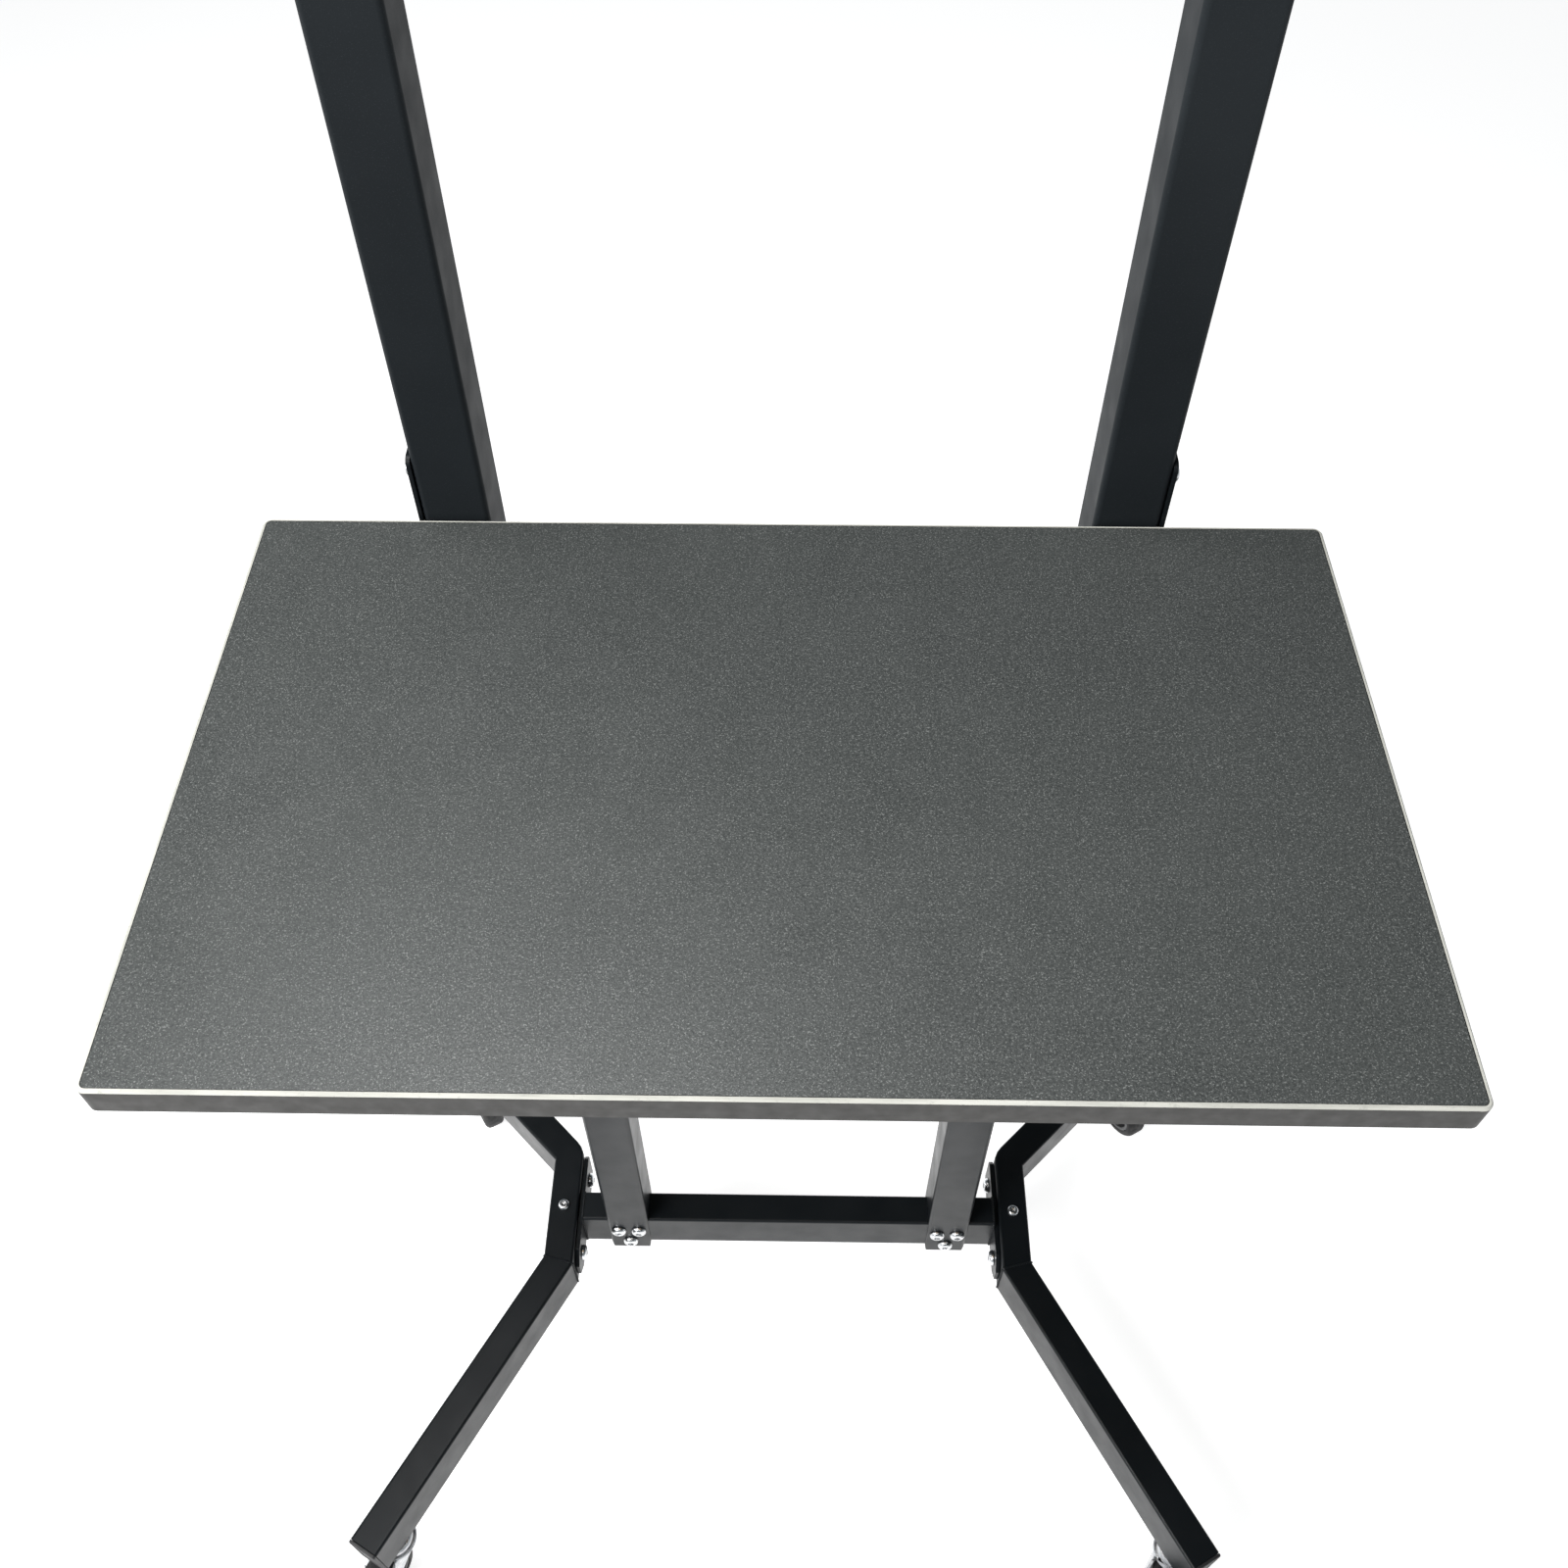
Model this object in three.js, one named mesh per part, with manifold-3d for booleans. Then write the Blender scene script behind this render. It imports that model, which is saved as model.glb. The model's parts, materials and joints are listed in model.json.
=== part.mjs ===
// Tabletop easel: a small laminate worktop carried in front of two tall square posts,
// on a low steel base with splayed feet and four swivel casters.
// Millimetres, +Z up, the front of the easel faces -Y. The finished group stands on z = 0 with
// its outer box centred on the origin.
import * as THREE from 'three';
import { mergeVertices } from 'three/addons/utils/BufferGeometryUtils.js';
import Module from 'manifold-3d';

const wasm = await Module();
wasm.setup();

// ---- driving dimensions ---------------------------------------------------------------------
const GAP = 0.3;                                   // air between pieces that touch

const TABLE = { width: 604, depth: 360, thick: 18, top: 875, corner: 5 };
const LAMINATE = 0.7;
const BAND = { thick: 2, bevel: 1.7 };

const SQUARE = { size: 38, wall: 2, corner: 3.2 };   // square tube of posts, columns, rail and arms
const POST = { inner: 173, front: 2.6, bottom: 800, top: 1497 };
const RAIL_TO_POST = 2.1;                          // clear space between the rear rail and a post
const COLUMN = { centre: 148, front: -115.5, drop: 59 };
const TAB_TAPER = { width: 2, height: 14 };
const ARM_FRONT = -310;
const ARM_PLATE = { width: 64, thick: 4, boltOffset: 25.5 };
const HEAD_PLATE = { length: 92, thick: 4 };

const BAR = { width: 27, height: 50, wall: 2, corner: 2.4 };   // flat tube of feet and crossbar
const BASE_Y = -100;                               // middle of the crossbar
const FOOT = { centre: 208, straight: 51, rearAngle: 45, frontAngle: 29, casterX: 330, over: 22 };
const END_PLATE = { half: 52, height: 40, thick: 4, taper: 12, nick: 4, boltOffset: 35 };
const TAB_SCREWS = { pair: 9.3, first: 19.5, second: 43.5 };

// Plate at each end of the worktop's rear rail. The post stands inside it, behind the rail.
const POST_PLATE = { thick: 2.6, above: 41, below: 66, corner: 5, margin: 1.5 };
const POST_BOLTS = { upper: { back: 10.4, above: 27 }, lower: { back: 19, above: -42 } };
const RAIL = { height: 38, belowTop: 12, endThick: 4 };
const CAP = { flange: 3, plug: 14, slack: 0.4, corner: 0.6 };
const BOARD_SCREWS = { inRail: -18.5, inArm: [-170, -292] };

const M6 = { head: 5.3, tall: 3.2, shank: 3 };
const M8 = { head: 6.9, tall: 4.2, shank: 4 };
const WOOD_SHANK = 2.4;
const HOLE_SLACK = 0.4;
const ONE_WALL = 6;                                // reach of a drill that goes through one wall
const WHOLE_TUBE = 30;                             // reach of a drill that goes through a whole tube
const WELD = 0.5;                                  // depth by which welded pieces run into each other

const CASTER = {
  height: 72, wheel: 29, tread: 20, rim: 21, bore: 3.4, hub: 10.8, trail: 26, heading: 30,
  crown: 60.6, crownThick: 3, crownRadius: 18, legInner: 11.6, legThick: 2.4, legRound: 8.5,
  threadRadius: 5, threadLength: 26, pinRadius: 4,
};

// ---- derived levels -------------------------------------------------------------------------
const FOOT_BOTTOM = CASTER.height;
const FOOT_TOP = FOOT_BOTTOM + BAR.height;
const BOARD_BOTTOM = TABLE.top - TABLE.thick;
const ARM_TOP = BOARD_BOTTOM - GAP;
const ARM_BOTTOM = ARM_TOP - SQUARE.size;
const ARM_MIDDLE = ARM_BOTTOM + SQUARE.size / 2;
const PLATE_TOP = ARM_BOTTOM - GAP;
const RAIL_BACK = POST.front - RAIL_TO_POST;
const RAIL_Y = RAIL_BACK - SQUARE.size / 2;
const POST_CENTRE = POST.inner + SQUARE.size / 2;
const POST_OUTER = POST.inner + SQUARE.size;
const POST_Y = POST.front + SQUARE.size / 2;
const COLUMN_Y = COLUMN.front + SQUARE.size / 2;
const FOOT_INNER = FOOT.centre - BAR.width / 2;
const PLATE_INNER = FOOT_INNER - GAP - END_PLATE.thick;
const BASE_BOLT_Z = FOOT_BOTTOM + BAR.height / 2;
const endPlateBoltPlaces = [-1, 1].map((end) => BASE_Y + end * END_PLATE.boltOffset);

// Sideways offset and depth below the crossbar's top of the three screws in a column's front tab.
const tabScrewPlaces = [
  [-TAB_SCREWS.pair, TAB_SCREWS.first],
  [TAB_SCREWS.pair, TAB_SCREWS.first],
  [0, TAB_SCREWS.second],
];

// ---- finishes -------------------------------------------------------------------------------
const finish = (color, roughness, metalness) => () =>
  new THREE.MeshStandardMaterial({ color, roughness, metalness });
const blackCoat = finish(0x1b1e22, 0.42, 0.3);
const laminate = finish(0x3c4042, 0.5, 0.0);
const bandPlastic = finish(0x5d5b55, 0.5, 0.0);
const chipboard = finish(0xa98a62, 0.9, 0.0);
const zinc = finish(0xc4c6c6, 0.3, 1.0);
const blackPlastic = finish(0x151617, 0.6, 0.0);
const tyreRubber = finish(0x2a2b2c, 0.75, 0.0);

// ---- solids ---------------------------------------------------------------------------------
function toSolid(geometry) {
  const bare = geometry.index ? geometry.toNonIndexed() : geometry.clone();
  bare.deleteAttribute('normal');
  bare.deleteAttribute('uv');
  const welded = mergeVertices(bare, 1e-4);
  return new wasm.Manifold(new wasm.Mesh({
    numProp: 3,
    vertProperties: new Float32Array(welded.attributes.position.array),
    triVerts: new Uint32Array(welded.index.array),
  }));
}

function toGeometry(solid) {
  const mesh = solid.getMesh();
  const geometry = new THREE.BufferGeometry();
  geometry.setAttribute('position', new THREE.BufferAttribute(mesh.vertProperties, 3));
  geometry.setIndex(new THREE.BufferAttribute(mesh.triVerts, 1));
  geometry.computeVertexNormals();
  return geometry;
}

// Rounded rectangle centred on the origin, as a shape.
function roundedRect(width, depth, radius) {
  const [w, d, shape] = [width / 2, depth / 2, new THREE.Shape()];
  shape.moveTo(w - radius, -d);
  shape.absarc(w - radius, radius - d, radius, -Math.PI / 2, 0);
  shape.absarc(w - radius, d - radius, radius, 0, Math.PI / 2);
  shape.absarc(radius - w, d - radius, radius, Math.PI / 2, Math.PI);
  shape.absarc(radius - w, radius - d, radius, Math.PI, 1.5 * Math.PI);
  shape.closePath();
  return shape;
}

function extrude(shape, depth, curveSegments = 1) {
  return new THREE.ExtrudeGeometry(shape, { depth, bevelEnabled: false, curveSegments });
}

// A geometry drawn along +Z is laid down so that its length runs along X or along Y.
const alongX = (geometry) => geometry.rotateY(Math.PI / 2);
const alongY = (geometry) => geometry.rotateX(-Math.PI / 2);

// Straight hollow tube, length along +Z, with both ends open.
function hollowTube(width, depth, length, { wall, corner }) {
  const shape = roundedRect(width, depth, corner);
  shape.holes.push(roundedRect(width - 2 * wall, depth - 2 * wall, corner - wall));
  return extrude(shape, length);
}

function block(width, depth, height, x, y, z) {
  return new THREE.BoxGeometry(width, depth, height).translate(x, y, z);
}

// Round drill along 'x', 'y' or 'z' that reaches the given distance each way from its middle.
function drill(radius, reach, axis, x, y, z) {
  const rod = new THREE.CylinderGeometry(radius, radius, 2 * reach, 8);
  if (axis === 'x') rod.rotateZ(Math.PI / 2);
  if (axis === 'z') rod.rotateX(Math.PI / 2);
  return toSolid(rod.translate(x, y, z));
}

// Clearance hole for a screw.
const screwHole = ({ shank }, reach, axis, x, y, z) => drill(shank + HOLE_SLACK, reach, axis, x, y, z);

function cut(geometry, ...tools) {
  return toGeometry(tools.reduce((solid, tool) => solid.subtract(tool), toSolid(geometry)));
}

function join(geometries) {
  return toGeometry(geometries.map(toSolid).reduce((a, b) => a.add(b)));
}

const stand = new THREE.Group();
function place(name, geometry, material, parent = stand) {
  const mesh = new THREE.Mesh(geometry, material());
  mesh.name = name;
  parent.add(mesh);
  return mesh;
}

// ---- fasteners ------------------------------------------------------------------------------
// Button-head screw: dome towards +Z, underside of the head on z = 0, shank down to -length.
function buttonScrew({ head, tall, shank }, length) {
  const profile = [
    [0, -length], [shank, -length], [shank, 0], [head, 0], [head * 0.9, tall * 0.6],
    [head * 0.55, tall], [0, tall],
  ].map(([r, z]) => new THREE.Vector2(r, z));
  return new THREE.LatheGeometry(profile, 10).rotateX(Math.PI / 2);
}

// Turns a screw drawn along +Z so that its dome looks along -Y, or along +X or -X.
const facingFront = (screw) => screw.rotateX(Math.PI / 2);
const facingSide = (screw, side) => screw.rotateY((side * Math.PI) / 2);

// ---- feet -----------------------------------------------------------------------------------
// Middle line of one foot, from the rear end to the front end.
function footLine(side) {
  const slant = (degrees) => Math.tan((degrees * Math.PI) / 180);
  const reach = FOOT.casterX - FOOT.centre;
  const rearBend = [FOOT.centre, BASE_Y + FOOT.straight];
  const frontBend = [FOOT.centre, BASE_Y - FOOT.straight];
  const rearCaster = [FOOT.casterX, rearBend[1] + reach / slant(FOOT.rearAngle)];
  const frontCaster = [FOOT.casterX, frontBend[1] - reach / slant(FOOT.frontAngle)];
  const flip = ([x, y]) => new THREE.Vector2(side * x, y);
  return { rearCaster, frontCaster, points: [rearCaster, rearBend, frontBend, frontCaster].map(flip) };
}

// The same line with its two ends moved outwards by `extra`.
function lengthened(points, extra) {
  const line = points.map((p) => p.clone());
  const last = line.length - 1;
  line[0].add(line[0].clone().sub(line[1]).setLength(extra));
  line[last].add(line[last].clone().sub(line[last - 1]).setLength(extra));
  return line;
}

// Band of the given half width along a line, mitred at its bends.
function mitredBand(points, half) {
  const offset = (sign) => points.map((p, i) => {
    const before = i > 0 ? p.clone().sub(points[i - 1]).normalize() : null;
    const after = i < points.length - 1 ? points[i + 1].clone().sub(p).normalize() : null;
    const [a, b] = [before ?? after, after ?? before];
    const normal = new THREE.Vector2(-a.y - b.y, a.x + b.x).normalize();
    const reach = half / normal.dot(new THREE.Vector2(-a.y, a.x));
    return p.clone().addScaledVector(normal, sign * reach);
  });
  return new THREE.Shape([...offset(1), ...offset(-1).reverse()]);
}

function endDirection(points, end) {
  const [tip, next] = end === 'rear' ? [points[0], points[1]] : [points[3], points[2]];
  return { tip, direction: tip.clone().sub(next).normalize() };
}

// Plastic plug for an open tube end: flange on z > 0, plug on z < 0.
function tubePlug(width, depth, { wall, corner }) {
  const inside = wall + CAP.slack;
  const flange = extrude(roundedRect(width, depth, corner), CAP.flange).translate(0, 0, GAP);
  const plugShape = roundedRect(width - 2 * inside, depth - 2 * inside, CAP.corner);
  const plug = extrude(plugShape, CAP.plug + GAP + WELD).translate(0, 0, -CAP.plug);
  return join([flange, plug]);
}

function addFoot(name, side) {
  const { points } = footLine(side);
  const whole = lengthened(points, FOOT.over);
  const outer = extrude(mitredBand(whole, BAR.width / 2), BAR.height).translate(0, 0, FOOT_BOTTOM);
  const openEnds = lengthened(whole, BAR.wall);
  const core = extrude(mitredBand(openEnds, BAR.width / 2 - BAR.wall), BAR.height - 2 * BAR.wall)
    .translate(0, 0, FOOT_BOTTOM + BAR.wall);
  const boltHoles = endPlateBoltPlaces.map((y) =>
    screwHole(M8, ONE_WALL, 'x', side * FOOT_INNER, y, BASE_BOLT_Z));
  const topHole = screwHole(M6, ONE_WALL, 'z', side * FOOT.centre, BASE_Y, FOOT_TOP);
  const stemHoles = [points[0], points[3]].map((p) =>
    drill(CASTER.threadRadius + HOLE_SLACK, ONE_WALL, 'z', p.x, p.y, FOOT_BOTTOM));
  place(`${name}_foot`, cut(outer, toSolid(core), ...boltHoles, topHole, ...stemHoles), blackCoat);

  for (const end of ['rear', 'front']) {
    const { tip, direction } = endDirection(points, end);
    const plug = alongX(tubePlug(BAR.height, BAR.width, BAR));
    const cap = place(`${name}_${end}_foot_cap`, plug, blackPlastic);
    const middle = tip.clone().addScaledVector(direction, FOOT.over);
    cap.position.set(middle.x, middle.y, BASE_BOLT_Z);
    cap.rotation.z = Math.atan2(direction.y, direction.x);
  }
}

// ---- crossbar and its end plates ------------------------------------------------------------
function endPlateOutline() {
  const { half, height, taper, nick } = END_PLATE;
  const z = height / 2;
  return new THREE.Shape([
    [-half, -z + taper], [-half + taper, -z], [half - nick, -z], [half, -z + nick],
    [half, z - nick], [half - nick, z], [-half + taper, z], [-half, z - taper],
  ].map(([x, y]) => new THREE.Vector2(x, y)));
}

// Flat tube between the feet with a plate welded across each open end.
function addCrossbar() {
  const length = 2 * (PLATE_INNER + WELD);
  const tube = alongX(hollowTube(BAR.height, BAR.width, length, BAR))
    .translate(-length / 2, BASE_Y, BASE_BOLT_Z);
  const plates = [-1, 1].map((side) => {
    const x = side > 0 ? PLATE_INNER : -PLATE_INNER - END_PLATE.thick;
    const plate = extrude(endPlateOutline(), END_PLATE.thick).rotateX(Math.PI / 2).rotateZ(Math.PI / 2);
    return plate.translate(x, BASE_Y, BASE_BOLT_Z);
  });
  const holes = [-1, 1].flatMap((side) => [
    drill(BAR.width / 4, ONE_WALL, 'x', side * (FOOT_INNER - GAP), BASE_Y, BASE_BOLT_Z),
    ...endPlateBoltPlaces.map((y) => screwHole(M8, ONE_WALL, 'x', side * PLATE_INNER, y, BASE_BOLT_Z)),
    ...tabScrewPlaces.map(([dx, down]) =>
      screwHole(M8, ONE_WALL, 'y', side * COLUMN.centre + dx, BASE_Y - BAR.width / 2, FOOT_TOP - down)),
  ]);
  place('crossbar', cut(join([tube, ...plates]), ...holes), blackCoat);
}

function addBaseScrews(name, side) {
  endPlateBoltPlaces.forEach((y, i) => {
    const bolt = facingSide(buttonScrew(M8, 16), -side);
    place(`${name}_${['front', 'rear'][i]}_end_plate_bolt`,
      bolt.translate(side * (PLATE_INNER - GAP), y, BASE_BOLT_Z), zinc);
  });
  const topScrew = buttonScrew(M6, 12).translate(side * FOOT.centre, BASE_Y, FOOT_TOP + GAP);
  place(`${name}_foot_top_screw`, topScrew, zinc);
}

// ---- columns --------------------------------------------------------------------------------
// The two screws of a column's head plate, clear of the tube between them.
const headPlateScrewPlaces = [-1, 1].map((end) =>
  COLUMN_Y + end * ((HEAD_PLATE.length + SQUARE.size) / 4 + 1));

// Upright triangle that trims one side of the tab at a column's foot.
function tabTrim(x, side, bottom) {
  const shape = new THREE.Shape();
  shape.moveTo(x - side * TAB_TAPER.width, bottom);
  shape.lineTo(x, bottom + TAB_TAPER.height);
  shape.lineTo(x + side * TAB_TAPER.width, bottom + TAB_TAPER.height);
  shape.lineTo(x + side * TAB_TAPER.width, bottom - TAB_TAPER.width);
  shape.lineTo(x - side * TAB_TAPER.width, bottom - TAB_TAPER.width);
  shape.closePath();
  const deep = 2 * SQUARE.size;
  return toSolid(extrude(shape, deep).rotateX(Math.PI / 2).translate(0, COLUMN_Y + deep / 2, 0));
}

// Square tube, saddled over the crossbar at its foot, with a flat plate welded across its top.
function addColumn(name, side) {
  const x = side * COLUMN.centre;
  const bottom = FOOT_TOP - COLUMN.drop;
  const plateBottom = PLATE_TOP - HEAD_PLATE.thick;
  const tube = hollowTube(SQUARE.size, SQUARE.size, plateBottom - bottom + WELD, SQUARE)
    .translate(x, COLUMN_Y, bottom);
  const plate = extrude(roundedRect(SQUARE.size, HEAD_PLATE.length, 2), HEAD_PLATE.thick)
    .translate(x, COLUMN_Y, plateBottom);
  const saddleHeight = 2 * BAR.height;
  const saddle = block(2 * SQUARE.size, BAR.width + 2 * GAP, saddleHeight,
    x, BASE_Y, FOOT_TOP + GAP - saddleHeight / 2);
  const trims = [-1, 1].map((end) => tabTrim(x + (end * SQUARE.size) / 2, end, bottom));
  const holes = [
    ...tabScrewPlaces.map(([dx, down]) =>
      screwHole(M8, ONE_WALL, 'y', x + dx, COLUMN.front, FOOT_TOP - down)),
    ...headPlateScrewPlaces.map((y) => screwHole(M6, ONE_WALL, 'z', x, y, PLATE_TOP)),
  ];
  place(`${name}_column`, cut(join([tube, plate]), toSolid(saddle), ...trims, ...holes), blackCoat);

  tabScrewPlaces.forEach(([dx, down], i) => {
    const screw = facingFront(buttonScrew(M8, 14)).translate(x + dx, COLUMN.front - GAP, FOOT_TOP - down);
    place(`${name}_column_screw_${i + 1}`, screw, zinc);
  });
}

// ---- frame under the worktop ----------------------------------------------------------------
const ARM_PLATE_BACK = RAIL_BACK - SQUARE.size - GAP;
const ARM_BACK = ARM_PLATE_BACK - ARM_PLATE.thick;
const armBoltPlaces = [-1, 1].map((end) => end * ARM_PLATE.boltOffset);
const postBoltPlaces = Object.values(POST_BOLTS).map(({ back, above }) =>
  [POST.front + back, TABLE.top + above]);

// Square tube under the worktop, with a plate across its back end that bolts to the rear rail.
function addArm(name, side) {
  const x = side * COLUMN.centre;
  const tube = alongY(hollowTube(SQUARE.size, SQUARE.size, ARM_BACK - ARM_FRONT + WELD, SQUARE))
    .translate(x, ARM_FRONT, ARM_MIDDLE);
  const plate = alongY(extrude(roundedRect(ARM_PLATE.width, SQUARE.size, SQUARE.corner), ARM_PLATE.thick))
    .translate(x, ARM_BACK, ARM_MIDDLE);
  const holes = [
    ...armBoltPlaces.map((dx) => screwHole(M6, ONE_WALL, 'y', x + dx, ARM_BACK, ARM_MIDDLE)),
    ...BOARD_SCREWS.inArm.map((y) => drill(WOOD_SHANK + HOLE_SLACK, WHOLE_TUBE, 'z', x, y, ARM_MIDDLE)),
    ...headPlateScrewPlaces.map((y) => screwHole(M6, ONE_WALL, 'z', x, y, ARM_BOTTOM)),
  ];
  place(`${name}_arm`, cut(join([tube, plate]), ...holes), blackCoat);

  const plug = tubePlug(SQUARE.size, SQUARE.size, SQUARE);
  const cap = place(`${name}_arm_cap`, plug, blackPlastic);
  cap.position.set(x, ARM_FRONT, ARM_MIDDLE);
  cap.rotation.x = Math.PI / 2;
}

// Outline of the plate at a rail end, drawn with Y to the right and Z up: as long as the rail and
// the post behind it, with a tongue that stands up beside the post.
function postPlateOutline() {
  const { corner, margin, above, below } = POST_PLATE;
  const [front, back] = [RAIL_BACK - SQUARE.size - margin, POST.front + SQUARE.size];
  const [bottom, top, shoulder] = [TABLE.top - below, TABLE.top + above, ARM_TOP - margin];
  const shape = new THREE.Shape();
  shape.moveTo(front, bottom);
  shape.lineTo(back - corner, bottom);
  shape.absarc(back - corner, bottom + corner, corner, -Math.PI / 2, 0);
  shape.absarc(back - corner, top - corner, corner, 0, Math.PI / 2);
  shape.absarc(POST.front + GAP + corner, top - corner, corner, Math.PI / 2, Math.PI);
  shape.lineTo(POST.front + GAP, shoulder);
  shape.lineTo(front, shoulder);
  shape.closePath();
  return shape;
}

// Rail under the worktop's rear edge. The posts stand behind it, bolted to its end plates.
function addRearRail() {
  const plateInner = POST_OUTER + GAP;
  const length = 2 * (plateInner + WELD);
  const tube = alongX(hollowTube(SQUARE.size, SQUARE.size, length, SQUARE))
    .translate(-length / 2, RAIL_Y, ARM_MIDDLE);
  const plates = [-1, 1].map((side) => {
    const x = side > 0 ? plateInner : -plateInner - POST_PLATE.thick;
    const plate = extrude(postPlateOutline(), POST_PLATE.thick).rotateX(Math.PI / 2).rotateZ(Math.PI / 2);
    return plate.translate(x, 0, 0);
  });
  const holes = [-1, 1].flatMap((side) => [
    drill(SQUARE.size / 5, ONE_WALL, 'x', side * plateInner, RAIL_Y, ARM_MIDDLE),
    ...postBoltPlaces.map(([y, z]) => screwHole(M6, ONE_WALL, 'x', side * plateInner, y, z)),
    ...armBoltPlaces.map((dx) =>
      screwHole(M6, ONE_WALL, 'y', side * COLUMN.centre + dx, ARM_PLATE_BACK, ARM_MIDDLE)),
    drill(WOOD_SHANK + HOLE_SLACK, WHOLE_TUBE, 'z', side * COLUMN.centre, BOARD_SCREWS.inRail, ARM_MIDDLE),
  ]);
  place('worktop_rear_rail', cut(join([tube, ...plates]), ...holes), blackCoat);
}

// ---- posts ----------------------------------------------------------------------------------
const TOP_RAIL_Z = POST.top - RAIL.belowTop - RAIL.height / 2;

function addPost(name, side) {
  const x = side * POST_CENTRE;
  const tube = hollowTube(SQUARE.size, SQUARE.size, POST.top - POST.bottom, SQUARE)
    .translate(x, POST_Y, POST.bottom);
  const holes = [
    ...postBoltPlaces.map(([y, z]) => screwHole(M6, ONE_WALL, 'x', side * POST_OUTER, y, z)),
    screwHole(M6, WHOLE_TUBE, 'x', x, POST_Y, TOP_RAIL_Z),
  ];
  place(`${name}_post`, cut(tube, ...holes), blackCoat);

  for (const [end, z, turn] of [['top', POST.top, 0], ['bottom', POST.bottom, Math.PI]]) {
    const plug = tubePlug(SQUARE.size, SQUARE.size, SQUARE);
    const cap = place(`${name}_post_${end}_cap`, plug, blackPlastic);
    cap.position.set(x, POST_Y, z);
    cap.rotation.x = turn;
  }

  postBoltPlaces.forEach(([y, z], i) => {
    const bolt = facingSide(buttonScrew(M6, 14), side)
      .translate(side * (POST_OUTER + POST_PLATE.thick + 2 * GAP), y, z);
    place(`${name}_${['upper', 'lower'][i]}_post_bolt`, bolt, zinc);
  });
}

// Rail between the post tops, closed at its ends by threaded end plates.
function addTopRail() {
  const length = 2 * (POST.inner - GAP);
  const outer = extrude(roundedRect(RAIL.height, BAR.width, BAR.corner), length);
  const boreShape = roundedRect(RAIL.height - 2 * BAR.wall, BAR.width - 2 * BAR.wall, BAR.corner - BAR.wall);
  const bore = extrude(boreShape, length - 2 * RAIL.endThick).translate(0, 0, RAIL.endThick);
  const laid = (geometry) => alongX(geometry).translate(-length / 2, POST_Y, TOP_RAIL_Z);
  const tapped = [-1, 1].map((side) =>
    screwHole(M6, 2 * ONE_WALL, 'x', side * POST.inner, POST_Y, TOP_RAIL_Z));
  place('top_rail', cut(laid(outer), toSolid(laid(bore)), ...tapped), blackCoat);
}

// ---- worktop --------------------------------------------------------------------------------
function addWorktop() {
  const y = -TABLE.depth / 2;
  const inset = BAND.thick + GAP;
  const [w, d] = [TABLE.width - 2 * inset, TABLE.depth - 2 * inset];
  const coreThick = TABLE.thick - LAMINATE - GAP;
  const core = extrude(roundedRect(w, d, TABLE.corner - BAND.thick), coreThick).translate(0, y, BOARD_BOTTOM);
  const screwPlaces = [BOARD_SCREWS.inRail, ...BOARD_SCREWS.inArm];
  const pilots = [-1, 1].flatMap((side) => screwPlaces.map((at) =>
    drill(WOOD_SHANK + HOLE_SLACK, 2 * ONE_WALL, 'z', side * COLUMN.centre, at, BOARD_BOTTOM)));
  place('worktop_board', cut(core, ...pilots), chipboard);

  const sheet = extrude(roundedRect(w, d, TABLE.corner - BAND.thick), LAMINATE);
  place('worktop_laminate', sheet.translate(0, y, TABLE.top - LAMINATE), laminate);

  const straightPart = TABLE.thick - BAND.bevel;
  const strip = extrude(roundedRect(TABLE.width, TABLE.depth, TABLE.corner), straightPart);
  const bevelled = new THREE.ExtrudeGeometry(
    roundedRect(TABLE.width - 2 * BAND.bevel, TABLE.depth - 2 * BAND.bevel, TABLE.corner - BAND.bevel),
    { depth: 1, bevelSize: BAND.bevel, bevelThickness: BAND.bevel, bevelSegments: 1, curveSegments: 1 });
  bevelled.translate(0, 0, straightPart - 1);
  const room = roundedRect(w + 2 * GAP, d + 2 * GAP, TABLE.corner - BAND.thick + GAP);
  const inside = extrude(room, 2 * TABLE.thick).translate(0, 0, -TABLE.thick / 2);
  const band = toSolid(strip).add(toSolid(bevelled)).subtract(toSolid(inside));
  place('worktop_edge_band', toGeometry(band).translate(0, y, BOARD_BOTTOM), bandPlastic);
}

// ---- casters --------------------------------------------------------------------------------
// Lathe profile given as [radius, height] pairs, turned about +Z.
const turned = (profile, segments) =>
  new THREE.LatheGeometry(profile.map(([r, z]) => new THREE.Vector2(r, z)), segments).rotateX(Math.PI / 2);

// Fixed stem: thread into the foot, bearing cover, and the kingpin with its riveted end.
function casterStem() {
  const { crown, crownThick, pinRadius, threadRadius, threadLength } = CASTER;
  const under = crown - GAP;
  const over = crown + crownThick + GAP;
  return turned([
    [0, under - 3], [6.5, under - 3], [7.5, under], [pinRadius, under], [pinRadius, over], [14, over],
    [16, over + 2], [15, FOOT_BOTTOM - GAP], [threadRadius, FOOT_BOTTOM - GAP],
    [threadRadius, FOOT_BOTTOM + threadLength], [0, FOOT_BOTTOM + threadLength],
  ], 14);
}

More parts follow.
